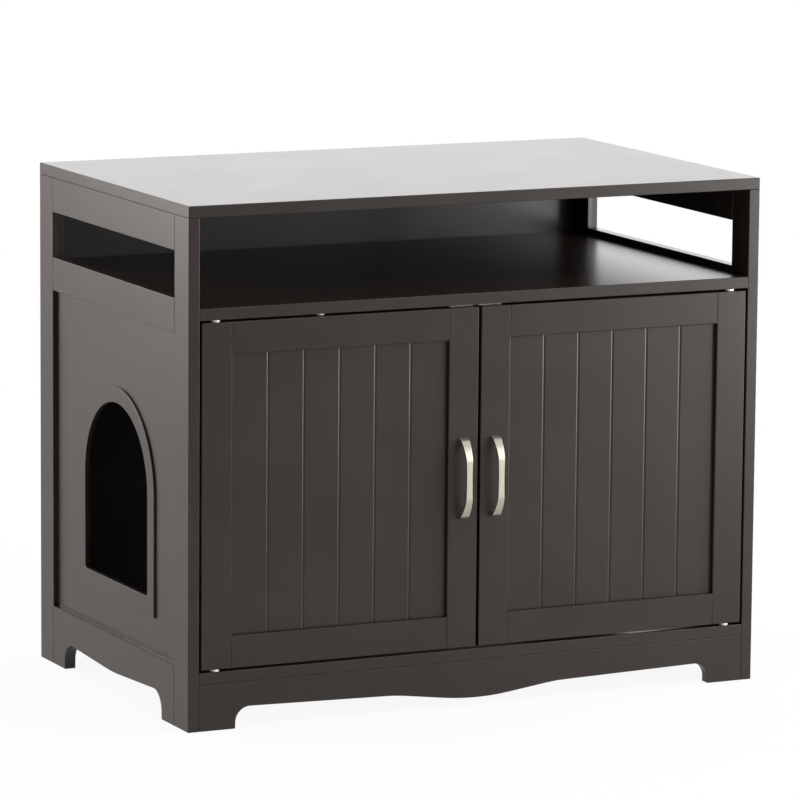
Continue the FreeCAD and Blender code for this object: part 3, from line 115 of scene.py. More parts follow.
class Field:
    """A number that varies over a surface: an output socket that takes Python's arithmetic."""

    def __init__(self, graph: "Graph", socket: bpy.types.NodeSocket) -> None:
        """Wrap one socket of a graph."""
        self.graph = graph
        self.socket = socket

    def math(self, operation: str, *values: "Value") -> "Field":
        """Add one Math node.

        Args:
            operation: The node's operation.
            values: What goes into its sockets, in order.

        Returns:
            The node's result.
        """
        inputs = dict(enumerate(values))
        made = self.graph.node("ShaderNodeMath", {"operation": operation}, inputs)
        return Field(self.graph, made.outputs[0])

    def __add__(self, other: "Value") -> "Field":
        """Sum."""
        return self.math("ADD", self, other)

    def __radd__(self, other: "Value") -> "Field":
        """Sum with a plain number first."""
        return self.math("ADD", other, self)

    def __sub__(self, other: "Value") -> "Field":
        """Difference."""
        return self.math("SUBTRACT", self, other)

    def __rsub__(self, other: "Value") -> "Field":
        """Difference from a plain number."""
        return self.math("SUBTRACT", other, self)

    def __mul__(self, other: "Value") -> "Field":
        """Product."""
        return self.math("MULTIPLY", self, other)

    def __rmul__(self, other: "Value") -> "Field":
        """Product with a plain number first."""
        return self.math("MULTIPLY", other, self)

    def least(self, other: "Value") -> "Field":
        """The smaller of two values."""
        return self.math("MINIMUM", self, other)

    def most(self, other: "Value") -> "Field":
        """The larger of two values."""
        return self.math("MAXIMUM", self, other)

    def step(self, low: float, high: float) -> "Field":
        """Rise smoothly from 0 to 1.

        Args:
            low: The value that gives 0.
            high: The value that gives 1.

        Returns:
            The smooth step.
        """
        settings = {"interpolation_type": "SMOOTHSTEP"}
        inputs = {"Value": self, "From Min": low, "From Max": high}
        return Field(self.graph, self.graph.node("ShaderNodeMapRange", settings, inputs).outputs[0])


Value = Union[float, Field]


class Graph:
    """A node tree of a finish, the floor or the world, with one method that adds any node."""

    def __init__(self, tree: bpy.types.NodeTree) -> None:
        """Clear a tree and take it over."""
        self.tree = tree
        tree.nodes.clear()

    def node(
        self,
        kind: str,
        settings: Optional[dict] = None,
        inputs: Optional[dict] = None,
    ) -> bpy.types.Node:
        """Add a node.

        Args:
            kind: The node's type.
            settings: Its own settings, which are made first.
            inputs: Values, fields or output sockets, by the name or place of the input socket.

        Returns:
            The new node.
        """
        made = self.tree.nodes.new(kind)
        for name, value in (settings or {}).items():
            setattr(made, name, value)
        for key, value in (inputs or {}).items():
            if isinstance(value, Field):
                value = value.socket
            if isinstance(value, bpy.types.NodeSocket):
                self.tree.links.new(value, made.inputs[key])
            else:
                made.inputs[key].default_value = value
        return made

    def vector(self, operation: str, *values: object) -> bpy.types.Node:
        """Add one Vector Math node."""
        return self.node("ShaderNodeVectorMath", {"operation": operation}, dict(enumerate(values)))

    def place(self, scale: Point = (1.0, 1.0, 1.0)) -> bpy.types.NodeSocket:
        """The place on the object in metres, with each axis scaled."""
        socket = self.node("ShaderNodeTexCoord").outputs["Object"]
        if scale == (1.0, 1.0, 1.0):
            return socket
        return self.node("ShaderNodeMapping", None, {"Vector": socket, "Scale": scale}).outputs[0]

    def noise(self, size: float, detail: float = 2.0, stretch: Point = (1.0, 1.0, 1.0)) -> Field:
        """Soft random patches.

        Args:
            size: How wide a patch is, in metres.
            detail: How many finer layers are added.
            stretch: Scales of the three axes, below 1 where patches are drawn out.

        Returns:
            A field about 0.5.
        """
        inputs = {"Vector": self.place(stretch), "Scale": 1 / size, "Detail": detail}
        return Field(self, self.node("ShaderNodeTexNoise", None, inputs).outputs[0])

    def blend(self, amount: Value, first: object, second: object) -> bpy.types.NodeSocket:
        """Mix two colours.

        Args:
            amount: 0 for the first colour, 1 for the second.
            first: A colour or a colour socket.
            second: A colour or a colour socket.

        Returns:
            The mixed colour.
        """
        settings = {"data_type": "RGBA", "clamp_factor": True}
        inputs = {"Factor": amount, 6: opaque(first), 7: opaque(second)}
        return self.node("ShaderNodeMix", settings, inputs).outputs[2]

    def relief(self, height: Value, depth: float) -> bpy.types.NodeSocket:
        """Turn a height into a normal.

        Args:
            height: The relief, from 0 to 1.
            depth: Its depth in metres.

        Returns:
            The normal.
        """
        return self.node("ShaderNodeBump", None, {"Height": height, "Distance": depth}).outputs[0]


def opaque(colour: object) -> object:
    """Give a plain colour its alpha, and leave a socket as it is."""
    return (*colour, 1.0) if isinstance(colour, tuple) else colour


def principled(name: str, make: Callable[[Graph], dict]) -> bpy.types.Material:
    """Make a material with one principled shader.

    Args:
        name: The material's name.
        make: Returns the shader's inputs from a graph.

    Returns:
        The material.
    """
    material = bpy.data.materials.new(name)
    material.use_nodes = True
    graph = Graph(material.node_tree)
    shader = graph.node("ShaderNodeBsdfPrincipled", None, make(graph))
    graph.node("ShaderNodeOutputMaterial", None, {"Surface": shader.outputs[0]})
    return material


# ---------------------------------------------------------------- finishes


@dataclass(frozen=True)
class BoardBox:
    """The box of one board, which its lacquer needs to find the board's edges."""

    low: Point
    high: Point

    @classmethod
    def of(cls, node: str) -> "BoardBox":
        """The box of a CAD node."""
        low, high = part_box(node)
        return cls(tuple(low), tuple(high))

    def edge_distance(self, graph: Graph) -> Field:
        """How far a point of the board's surface is from the nearest edge of its box.

        Args:
            graph: The finish's graph.

        Returns:
            The middle one of the distances to the box's three pairs of faces.
        """
        middle = tuple((a + b) / 2 for a, b in zip(self.low, self.high))
        half = tuple((b - a) / 2 for a, b in zip(self.low, self.high))
        offset = graph.vector("SUBTRACT", graph.place(), middle)
        away = graph.vector("ABSOLUTE", offset.outputs[0])
        inside = graph.vector("SUBTRACT", half, away.outputs[0])
        axes = graph.node("ShaderNodeSeparateXYZ", None, {0: inside.outputs[0]})
        x, y, z = [Field(graph, socket) for socket in axes.outputs]
        return x.least(y).most(x.most(y).least(z))


@dataclass(frozen=True)
class SatinLacquer:
    """Dark satin lacquer, sprayed on board: faint clouds, uneven sheen, and edges painted lighter, partly
    as rubbed wear and partly as a painted highlight.
    """

    deep: Colour = (0.0200, 0.0130, 0.0098)
    light: Colour = (0.0250, 0.0168, 0.0130)
    # lighter colour along the edges: partly rubbed wear, partly a painted highlight
    worn_highlight: Colour = (0.070, 0.054, 0.045)
    roughness: float = 0.292
    sheen_spread: float = 0.03
    wear_highlight_width: float = 1.6 * MM
    wear_highlight_strength: float = 0.25
    rub_sheen: float = 0.08
    wear_highlight_patch: float = 0.03
    cloud_size: float = 0.11
    smudge_size: float = 0.09

    def dress(self, name: str, box: BoardBox) -> bpy.types.Material:
        """Make the lacquer of one board.

        Args:
            name: The board's node.
            box: The board's box.

        Returns:
            The material.
        """

        def make(graph: Graph) -> dict:
            cloud = graph.noise(self.cloud_size, 3.0)
            edge = 1 - box.edge_distance(graph).step(0.0, self.wear_highlight_width)
            # patchy band along the box edges that takes the lighter colour: partly rubbed wear, partly a
            # painted highlight
            wear_and_highlight = edge * graph.noise(self.wear_highlight_patch).step(0.42, 0.72)
            tone = graph.blend(cloud.step(0.3, 0.7), self.deep, self.light)
            colour = graph.blend(wear_and_highlight * self.wear_highlight_strength, tone, self.worn_highlight)
            smudge = graph.noise(self.smudge_size, 3.0)
            sheen = self.roughness + self.sheen_spread * (smudge - 0.5) + wear_and_highlight * self.rub_sheen
            return {"Base Color": colour, "Roughness": sheen}

        return principled(f"lacquer_{name}", make)


@dataclass(frozen=True)
class ScreenedBoard:
    """Thin hardboard: lacquered in front, with the press's matt screen pattern on its back."""

    lacquer: SatinLacquer
    back_tone: Colour = (0.030, 0.022, 0.018)
    back_light: Colour = (0.046, 0.034, 0.028)
    screen_pitch: float = 1.3 * MM

    def dress(self, name: str) -> bpy.types.Material:
        """Make the finish of one back panel.

        Args:
            name: The panel's node.

        Returns:
            The material.
        """

        def make(graph: Graph) -> dict:
            normal = graph.node("ShaderNodeNewGeometry").outputs["True Normal"]
            axes = graph.node("ShaderNodeSeparateXYZ", None, {0: normal})
            rear = Field(graph, axes.outputs[1]).step(0.4, 0.6)
            cloud = graph.noise(0.09, 3.0)
            front = graph.blend(cloud.step(0.3, 0.7), self.lacquer.deep, self.lacquer.light)
            fibre = graph.noise(2.5 * MM, 3.0, (0.25, 1.0, 1.0)).step(0.35, 0.75)
            back = graph.blend(fibre * 0.6 + cloud * 0.3, self.back_tone, self.back_light)
            waves = []
            for direction in ("X", "Z"):
                settings = {"wave_type": "BANDS", "bands_direction": direction, "wave_profile": "SIN"}
                inputs = {"Vector": graph.place(), "Scale": 0.314 / self.screen_pitch}
                waves.append(Field(graph, graph.node("ShaderNodeTexWave", settings, inputs).outputs[1]))
            weave = waves[0] * waves[1]
            smudge = graph.noise(0.09, 3.0)
            spread = self.lacquer.sheen_spread
            sheen = self.lacquer.roughness + spread * (smudge - 0.5) + rear * (0.26 + 0.12 * fibre)
            return {
                "Base Color": graph.blend(rear, front, back),
                "Roughness": sheen,
                "Normal": graph.relief(rear * weave, 0.09 * MM),
            }

        return principled(f"hardboard_{name}", make)


@dataclass(frozen=True)
class BrushedNickel:
    """Warm satin nickel, brushed along the handle."""

    tone: Colour = (0.67, 0.63, 0.54)
    dark: Colour = (0.50, 0.47, 0.40)
    roughness: float = 0.38

    def dress(self) -> bpy.types.Material:
        """Make the plating."""

        def make(graph: Graph) -> dict:
            streaks = graph.noise(0.35 * MM, 2.0, (1.0, 1.0, 0.03))
            fine = graph.noise(0.12 * MM, 1.0, (1.0, 1.0, 0.05))
            cloud = graph.noise(14 * MM, 2.0)
            colour = graph.blend(streaks.step(0.3, 0.8) * 0.35 + cloud * 0.15, self.tone, self.dark)
            return {
                "Base Color": colour,
                "Metallic": 1.0,
                "Roughness": self.roughness + 0.16 * (streaks - 0.5) + 0.08 * (cloud - 0.5),
                "Normal": graph.relief(streaks * 0.7 + fine * 0.3, 0.02 * MM),
            }

        return principled("brushed_nickel", make)


@dataclass(frozen=True)
class PlatedSteel:
    """Zinc plated steel with a faint blue and straw bloom."""

    name: str = "zinc_plate"
    cool: Colour = (0.55, 0.58, 0.62)
    straw: Colour = (0.66, 0.62, 0.50)
    roughness: float = 0.34
    grain: float = 0.4 * MM

    def dress(self) -> bpy.types.Material:
        """Make the plating."""

        def make(graph: Graph) -> dict:
            bloom = graph.noise(5 * MM, 3.0)
            grain = graph.noise(self.grain, 2.0)
            return {
                "Base Color": graph.blend(bloom.step(0.35, 0.7), self.cool, self.straw),
                "Metallic": 1.0,
                "Roughness": self.roughness + 0.2 * (grain - 0.5) + 0.1 * (bloom - 0.5),
                "Normal": graph.relief(grain, 0.02 * MM),
            }

        return principled(self.name, make)


@dataclass(frozen=True)
class Moulded:
    """A moulded or pressed part: even colour with a fine grain from its tool."""

    name: str
    tone: Colour
    shade: Colour
    roughness: float
    grain: float = 0.5 * MM
    depth: float = 0.02 * MM

    def dress(self) -> bpy.types.Material:
        """Make the moulded surface."""

        def make(graph: Graph) -> dict:
            grain = graph.noise(self.grain, 2.0)
            cloud = graph.noise(8 * MM, 2.0)
            share = cloud.step(0.3, 0.75) * 0.7 + grain * 0.2
            return {
                "Base Color": graph.blend(share, self.tone, self.shade),
                "Roughness": self.roughness + 0.12 * (cloud - 0.5) + 0.1 * (grain - 0.5),
                "Normal": graph.relief(grain, self.depth),
            }

        return principled(self.name, make)


# ---------------------------------------------------------------- shapes


def lathe(profile: Iterable[tuple[float, float]], steps: int = 48) -> bmesh.types.BMesh:
    """Turn a profile about the Z axis.

    Args:
        profile: Radius and height of its corners, from the axis back to the axis or round a bore.
        steps: Flats of the full turn.

    Returns:
        The turned shape, closed.
    """
    mesh = bmesh.new()
    points = [mesh.verts.new((radius, 0.0, height)) for radius, height in profile]
    edges = [mesh.edges.new(pair) for pair in zip(points, points[1:])]
    if profile_is_ring(points):
        edges.append(mesh.edges.new((points[-1], points[0])))
    about = {"cent": (0, 0, 0), "axis": (0, 0, 1), "angle": math.tau}
    bmesh.ops.spin(mesh, geom=points + edges, steps=steps, use_merge=True, **about)
    bmesh.ops.remove_doubles(mesh, verts=mesh.verts[:], dist=TOUCH)
    bmesh.ops.recalc_face_normals(mesh, faces=mesh.faces[:])
    return mesh


def profile_is_ring(points: list[bmesh.types.BMVert]) -> bool:
    """Tell whether a profile keeps off the axis, so that it turns into a ring."""
    return min(point.co.x for point in points) > TOUCH


def bevelled(
    mesh: bmesh.types.BMesh,
    parts: list,
    reach: float,
    segments: int,
    affect: str = "EDGES",
    clamp: bool = False,
) -> None:
    """Round edges or corners over.

    Args:
        mesh: The shape, which is changed.
        parts: The edges or corners.
        reach: How far from them the rounding starts.
        segments: Flats of the rounding.
        affect: What the parts are, EDGES or VERTICES.
        clamp: Whether roundings stop where they would meet.
    """
    bmesh.ops.bevel(
        mesh,
        geom=parts,
        offset=reach,
        offset_type="OFFSET",
        segments=segments,
        profile=0.5,
        affect=affect,
        clamp_overlap=clamp,
        material=-1,
    )


def joined(parts: Iterable[bmesh.types.BMesh]) -> bmesh.types.BMesh:
    """Put several shapes in one mesh and free them.

    Args:
        parts: The shapes.

    Returns:
        The one mesh.
    """
    whole = bmesh.new()
    for part in parts:
        carrier = bpy.data.meshes.new("carrier")
        part.to_mesh(carrier)
        part.free()
        whole.from_mesh(carrier)
        bpy.data.meshes.remove(carrier)
    return whole


def repeated(pattern: bmesh.types.BMesh, places: Iterable[Matrix]) -> bmesh.types.BMesh:
    """Copy one shape to several places.

    Args:
        pattern: The shape, which is freed.
        places: The transform of each copy.

    Returns:
        All copies in one mesh.
    """
    copies = []
    for place in places:
        copy = pattern.copy()
        bmesh.ops.transform(copy, matrix=place, verts=copy.verts[:])
        copies.append(copy)
    pattern.free()
    return joined(copies)


def block(size: Point, centre: Point, taper: float = 1.0) -> bmesh.types.BMesh:
    """Make a box whose lower face may be smaller than its upper face.

    Args:
        size: Its full sizes.
        centre: Its centre.
        taper: Width of the lower face over that of the upper.

    Returns:
        The box.
    """
    mesh = bmesh.new()
    bmesh.ops.create_cube(mesh, size=1.0)
    low = [vert for vert in mesh.verts if vert.co.z < 0]
    bmesh.ops.scale(mesh, vec=(taper, taper, 1.0), verts=low)
    bmesh.ops.scale(mesh, vec=size, verts=mesh.verts[:])
    bmesh.ops.translate(mesh, vec=centre, verts=mesh.verts[:])
    return mesh


def carved(shape: bmesh.types.BMesh, cutters: Iterable[bmesh.types.BMesh]) -> bmesh.types.BMesh:
    """Cut shapes out of another.

    Args:
        shape: The shape that is cut, which is freed.
        cutters: What is taken away; these are freed too.

    Returns:
        The cut shape.
    """
    target = link_mesh("carving", shape)
    tools = []
    for number, cutter in enumerate(cutters):
        tool = link_mesh(f"cutter_{number}", cutter)
        cut = target.modifiers.new("cut", "BOOLEAN")
        cut.operation, cut.solver, cut.object = "DIFFERENCE", "EXACT", tool
        tools.append(tool)
    graph = bpy.context.evaluated_depsgraph_get()
    result = bpy.data.meshes.new_from_object(target.evaluated_get(graph))
    mesh = bmesh.new()
    mesh.from_mesh(result)
    for spare in [target, *tools]:
        bpy.data.meshes.remove(spare.data)
    bpy.data.meshes.remove(result)
    return mesh


def link_mesh(name: str, shape: bmesh.types.BMesh) -> bpy.types.Object:
    """Make an object of a shape and free the shape.

    Args:
        name: The object's name.
        shape: Its mesh, in its place.

    Returns:
        The object, at the origin.
    """
    data = bpy.data.meshes.new(name)
    shape.to_mesh(data)
    shape.free()
    made = bpy.data.objects.new(name, data)
    bpy.context.scene.collection.objects.link(made)
    return made


def cross_recess(reach: float, width: float, depth: float) -> list[bmesh.types.BMesh]:
    """Make the two blades that cut a cross recess into a head whose top is at z = 0.

    Args:
        reach: Length of each blade.
        width: Width of each blade.
        depth: Depth of the recess.

    Returns:
        The two cutters.
    """
    size_z = depth * 2
    return [
        block((reach, width, size_z), (0, 0, 0), 0.55),
        block((width, reach, size_z), (0, 0, 0), 0.55),
    ]


def keep_flats_flat(made: bpy.types.Object) -> None:
    """Let the broad faces of a smooth shaded piece set its normals, so that they look flat."""
    even = made.modifiers.new("even", "WEIGHTED_NORMAL")
    even.mode, even.weight, even.keep_sharp = "FACE_AREA", 100, True
    graph = bpy.context.evaluated_depsgraph_get()
    rough = made.data
    result = bpy.data.meshes.new_from_object(made.evaluated_get(graph))
    made.modifiers.clear()
    made.data = result
    bpy.data.meshes.remove(rough)


# ---------------------------------------------------------------- pieces


@dataclass(frozen=True)
class Piece:
    """How a new piece is named, what it stands for, and what it rides on."""

    name: str
    body: Body
    slot: str
    replaces: str
    crease: float = 32.0

    def finish(self, shape: bmesh.types.BMesh, material: bpy.types.Material) -> bpy.types.Object:
        """Turn a shape into a dressed piece.

        Args:
            shape: The piece's mesh, in its place.
            material: Its finish.

        Returns:
            The piece's object.
        """
        made = link_mesh(self.name, shape)
        made.data.shade_smooth()
        made.data.set_sharp_from_angle(angle=math.radians(self.crease))
        keep_flats_flat(made)
        made.data.materials.append(material)
        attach(made, self.body.value)
        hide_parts(self.replaces)
        LOG.info("made %s with %d faces", self.name, len(made.data.polygons))
        return made


@dataclass(frozen=True)
class BowHandle:
    """A bow handle: two solid feet, sloping legs and a straight middle, narrow at its waist."""

    centre_x: float = 22.5 * MM
    door_y: float = -237.5 * MM
    low_z: float = 243.75 * MM
    high_z: float = 347.75 * MM
    foot: float = 8.5 * MM
    end_width: float = 12 * MM
    waist_width: float = 7.8 * MM
    edge_round: float = 1.1 * MM
    slices: int = 34
    outer_bends: tuple = ((2.6, 7.0, 8), (13.5, 15.0, 40), (25, 20, 20))
    inner_bends: tuple = ((8.5, 7.66, 2.5), (14.83, 12.76, 37.5), (25.52, 17.5, 17.5))

    def outline(self) -> list[tuple[float, float, float]]:
        """The side view's corners as distance from the door, height and bend radius."""
        lower = [(out, along, bend) for along, out, bend in self.outer_bends]
        inner = [(out, along, bend) for along, out, bend in self.inner_bends]
        length = (self.high_z - self.low_z) / MM
        upper = [(out, length - along, bend) for out, along, bend in reversed(lower)]
        inner_upper = [(out, length - along, bend) for out, along, bend in inner]
        foot = self.foot / MM
        feet_low, feet_high = [(0, foot, 0)], [(0, length - foot, 0)]
        bow = [(0, 0, 0), *lower, *upper, (0, length, 0)]
        return bow + feet_high + inner_upper + inner[::-1] + feet_low

    def side_view(self) -> bmesh.types.BMesh:
        """The outline as one flat face with its bends rounded, cut into level slices."""
        mesh = bmesh.new()
        corners = self.outline()
        spots = [(0.0, self.door_y - out * MM, self.low_z + along * MM) for out, along, _ in corners]
        verts = [mesh.verts.new(spot) for spot in spots]
        mesh.faces.new(verts)
        for index, (vert, (_, _, bend)) in enumerate(zip(verts, corners)):
            if not bend:
                continue
            before = Vector(spots[index - 1]) - Vector(spots[index])
            after = Vector(spots[(index + 1) % len(spots)]) - Vector(spots[index])
            turn = math.pi - before.angle(after)
            reach = bend * MM * math.tan(turn / 2)
            bevelled(mesh, [vert], reach, 5, "VERTICES")
        step = (self.high_z - self.low_z) / self.slices
        for level in range(1, self.slices):
            every = mesh.verts[:] + mesh.edges[:] + mesh.faces[:]
            height = (0, 0, self.low_z + level * step)
            bmesh.ops.bisect_plane(mesh, geom=every, dist=1e-7, plane_co=height, plane_no=(0, 0, 1))
        return mesh

    def half_width(self, height: float) -> float:
        """Half of the handle's width at a height, least at the waist."""
        middle = (self.low_z + self.high_z) / 2
        share = (height - middle) / (self.high_z - middle)
        dip = (self.end_width - self.waist_width) / 2
        return self.end_width / 2 - dip * (1 - share * share)

    def build(self, side: Side, material: bpy.types.Material) -> bpy.types.Object:
        """Make the handle of one door.

        Args:
            side: The door's side.
            material: The handle's finish.

        Returns:
            The piece.
        """
        mesh = self.side_view()
        grown = bmesh.ops.extrude_face_region(mesh, geom=mesh.faces[:])
        flank = {item for item in grown["geom"] if isinstance(item, bmesh.types.BMVert)}
        middle = side.value * self.centre_x
        for vert in mesh.verts:
            reach = self.half_width(vert.co.z)
            vert.co.x = middle + (reach if vert in flank else -reach)
        bmesh.ops.recalc_face_normals(mesh, faces=mesh.faces[:])
        long_edges = []
        for edge in mesh.edges:
            across = [abs(face.normal.x) for face in edge.link_faces]
            on_door = all(abs(vert.co.y - self.door_y) < TOUCH for vert in edge.verts)
            if max(across) > 0.7 and min(across) < 0.5 and not on_door:
                long_edges.append(edge)
        bevelled(mesh, long_edges, self.edge_round, 3, clamp=True)
        name = f"{side.word}_handle"
        spec = Piece(f"{side.word}_bow_handle", Body.door(side), "satin_nickel", name, 40.0)
        return spec.finish(mesh, material)


@dataclass(frozen=True)
class EntranceTrim:
    """The flat trim round a cat entrance: a round head, straight legs and a sill in one piece."""

    inner_x: float = 394 * MM
    outer_x: float = 397 * MM
    middle_y: float = 5 * MM
    springing_z: float = 276 * MM
    sill_z: float = 148 * MM
    bottom_z: float = 123 * MM
    opening: float = 103.5 * MM
    width: float = 21.5 * MM
    corner: float = 5 * MM
    edge_round: float = 0.8 * MM

    def build(self, side: Side, finish: SatinLacquer) -> bpy.types.Object:
        """Make the trim of one side.

        Args:
            side: The cabinet's side.
            finish: The trim's lacquer.

        Returns:
            The piece.
        """
        mesh = bmesh.new()
        near, far = self.middle_y + self.opening, self.middle_y + self.opening + self.width
        corners = [(self.inner_x, near), (self.outer_x, near), (self.outer_x, far), (self.inner_x, far)]
        verts = [mesh.verts.new((x, y, self.springing_z)) for x, y in corners]
        ring = [mesh.edges.new((verts[i], verts[(i + 1) % 4])) for i in range(4)]
        centre = (0, self.middle_y, self.springing_z)
        bmesh.ops.spin(mesh, geom=verts + ring, cent=centre, axis=(1, 0, 0), angle=math.pi, steps=56)
        for level in (self.sill_z, self.bottom_z):
            open_edges = [edge for edge in mesh.edges if edge.is_boundary]
            grown = bmesh.ops.extrude_edge_only(mesh, edges=open_edges)["geom"]
            for vert in grown:
                if isinstance(vert, bmesh.types.BMVert):
                    vert.co.z = level
        inner_faces = [face for face in mesh.faces if self.faces_sill(face)]
        rims = {edge for face in inner_faces for edge in face.edges}
        bmesh.ops.delete(mesh, geom=inner_faces, context="FACES_ONLY")
        bmesh.ops.bridge_loops(mesh, edges=list(rims))
        bmesh.ops.holes_fill(mesh, edges=[edge for edge in mesh.edges if edge.is_boundary], sides=4)
        bmesh.ops.recalc_face_normals(mesh, faces=mesh.faces[:])
        self.round_off(mesh)
        if side is Side.LEFT:
            bmesh.ops.scale(mesh, vec=(-1, 1, 1), verts=mesh.verts[:])
            bmesh.ops.recalc_face_normals(mesh, faces=mesh.faces[:])
        name = f"{side.word}_arch_trim"
        spec = Piece(f"{side.word}_entrance_trim", Body.CABINET, "dark_board", name, 28.0)
        return spec.finish(mesh, finish.dress(name, BoardBox.of(name)))

    def faces_sill(self, face: bmesh.types.BMFace) -> bool:
        """Tell whether a face of a leg is where the sill joins it."""
        middle = face.calc_center_median()
        inner = abs(abs(middle.y - self.middle_y) - self.opening) < NEAR
        return inner and middle.z < self.sill_z

    def round_off(self, mesh: bmesh.types.BMesh) -> None:
        """Round the sill's corners, then ease every edge of the shown face."""
        corners = []
        for edge in mesh.edges:
            a, b = (vert.co for vert in edge.verts)
            at_sill = abs(a.z - self.sill_z) < TOUCH and abs(b.z - self.sill_z) < TOUCH
            at_leg = abs(abs(a.y - self.middle_y) - self.opening) < NEAR
            if at_sill and at_leg and abs(a.x - b.x) > 1e-4:
                corners.append(edge)
        bevelled(mesh, corners, self.corner, 6)
        rims = []
        for edge in mesh.edges:
            shown = all(abs(vert.co.x - self.outer_x) < TOUCH for vert in edge.verts)
            if shown and len(edge.link_faces) == 2 and edge.calc_face_angle() > 1.0:
                rims.append(edge)
        bevelled(mesh, rims, self.edge_round, 3)


@dataclass(frozen=True)
class DoorPivots:
    """A door's two steel pins and the nylon bushes that they turn in."""

    pivot_x: float = 361.5 * MM
    pivot_y: float = -230 * MM
    shelf_z: float = 517 * MM
    floor_z: float = 74.5 * MM
    door_high_z: float = 514 * MM
    door_low_z: float = 77.5 * MM
    collar_radius: float = 6 * MM
    stem_radius: float = 4 * MM
    bore_radius: float = 2.55 * MM
    gap: float = 3 * MM
    stem: float = 10 * MM
    pin_radius: float = 2.5 * MM
    pin_in_door: float = 18 * MM
    pin_out: float = 11 * MM

    def bush(self) -> bmesh.types.BMesh:
        """One bush, its collar below z = 0 and its stem above."""
        ease = 0.6 * MM
        low, top = -self.gap, self.stem
        return lathe(
            [
                (self.bore_radius + ease, low),
                (self.collar_radius - ease, low),
                (self.collar_radius - ease * 0.3, low + ease * 0.3),
                (self.collar_radius, low + ease),
                (self.collar_radius, -ease * 0.5),
                (self.collar_radius - ease * 0.5, 0.0),
                (self.stem_radius, 0.0),
                (self.stem_radius, top - ease),
                (self.stem_radius - ease, top),
                (self.bore_radius, top),
                (self.bore_radius, low + ease),
            ]
        )

    def pin(self) -> bmesh.types.BMesh:
        """One pin with eased ends, the door's edge at z = 0."""
        ease = 0.5 * MM
        low, top, radius = -self.pin_in_door, self.pin_out, self.pin_radius
        lower_end = [(0, low), (radius - ease, low), (radius, low + ease)]
        return lathe([*lower_end, (radius, top - ease), (radius - ease, top), (0, top)])

    def build(self, side: Side, nylon: bpy.types.Material, steel: bpy.types.Material) -> None:
        """Make the pins and bushes of one door.

        Args:
            side: The door's side.
            nylon: The bushes' finish.
            steel: The pins' finish.
        """
        x, y = side.value * self.pivot_x, self.pivot_y
        seats = [Facing.UP.matrix((x, y, self.shelf_z)), Facing.DOWN.matrix((x, y, self.floor_z))]
        bushes = Piece(
            f"{side.word}_nylon_bushes", Body.CABINET, "white_nylon", f"{side.word}_pivot_bushes"
        )
        bushes.finish(repeated(self.bush(), seats), nylon)
        ends = [Facing.UP.matrix((x, y, self.door_high_z)), Facing.DOWN.matrix((x, y, self.door_low_z))]
        pins = Piece(f"{side.word}_steel_pins", Body.door(side), "zinc_steel", f"{side.word}_pivot_pins")
        pins.finish(repeated(self.pin(), ends), steel)


@dataclass(frozen=True)
class CamLocks:
    """The cam locks that draw the boards tight, with a cross recess and an arrow at the rim."""

    radius: float = 7.5 * MM
    depth: float = 12.5 * MM
    ease: float = 0.4 * MM
    rail_x: float = 385 * MM
    rail_z: float = 620 * MM
    rail_reach: float = 167 * MM
    board_x: float = 360 * MM
    board_reach: float = 150 * MM
    undersides: tuple[float, ...] = (517 * MM, 59.5 * MM)
    middle_y: float = 10 * MM

    def cam(self) -> bmesh.types.BMesh:
        """One cam with its face level with z = 0."""
        radius, ease = self.radius, self.ease
        disc = lathe(
            [(0, -self.depth), (radius, -self.depth), (radius, -ease), (radius - ease, 0), (0, 0)], 40
        )
        arrow = bmesh.new()
        bmesh.ops.create_cone(
            arrow, cap_ends=True, segments=3, radius1=1.1 * MM, radius2=1.1 * MM, depth=0.8 * MM
        )
        bmesh.ops.translate(arrow, vec=(5.6 * MM, 0, 0), verts=arrow.verts[:])
        return carved(disc, [*cross_recess(6.4 * MM, 1.5 * MM, 2.2 * MM), arrow])

    def seats(self) -> list[Matrix]:
        """Where each cam sits and which way it faces."""
        seats = []
        for side, inward in ((Side.LEFT, Facing.RIGHT), (Side.RIGHT, Facing.LEFT)):
            for end in (-1, 1):
                spot = (side.value * self.rail_x, self.middle_y + end * self.rail_reach, self.rail_z)
                seats.append(inward.matrix(spot))
                for level in self.undersides:
                    y = self.middle_y + end * self.board_reach
                    seats.append(Facing.DOWN.matrix((side.value * self.board_x, y, level)))
        return seats

    def build(self, material: bpy.types.Material) -> None:
        """Make all cam locks.

        Args:
            material: Their finish.
        """
        spec = Piece("cam_lock_set", Body.CABINET, "cast_zinc", "cam_locks")
        spec.finish(repeated(self.cam(), self.seats()), material)


@dataclass(frozen=True)
class PanScrew:
    """A screw with a rounded head and a cross recess, its seat at z = 0."""

    head_radius: float
    head_height: float
    shank_radius: float
    shank_length: float
    blade: float

    def shape(self) -> bmesh.types.BMesh:
        """The screw on the Z axis, its head up."""
        radius, height = self.head_radius, self.head_height
        crown = [(radius, 0.0), (radius, height * 0.38)]
        for share in (0.25, 0.5, 0.75, 1.0):
            lean = share * math.pi / 2
            crown.append((radius * math.cos(lean * 0.92), height * (0.38 + 0.62 * math.sin(lean))))
        shank, tip = self.shank_radius, -self.shank_length
        screw = lathe([(0, tip), (shank, tip), (shank, 0.0), *crown, (0, height)], 32)
        bmesh.ops.translate(screw, vec=(0, 0, -height), verts=screw.verts[:])
        cut = carved(screw, cross_recess(radius * 1.15, self.blade, height * 0.62))
        bmesh.ops.translate(cut, vec=(0, 0, height), verts=cut.verts[:])
        return cut


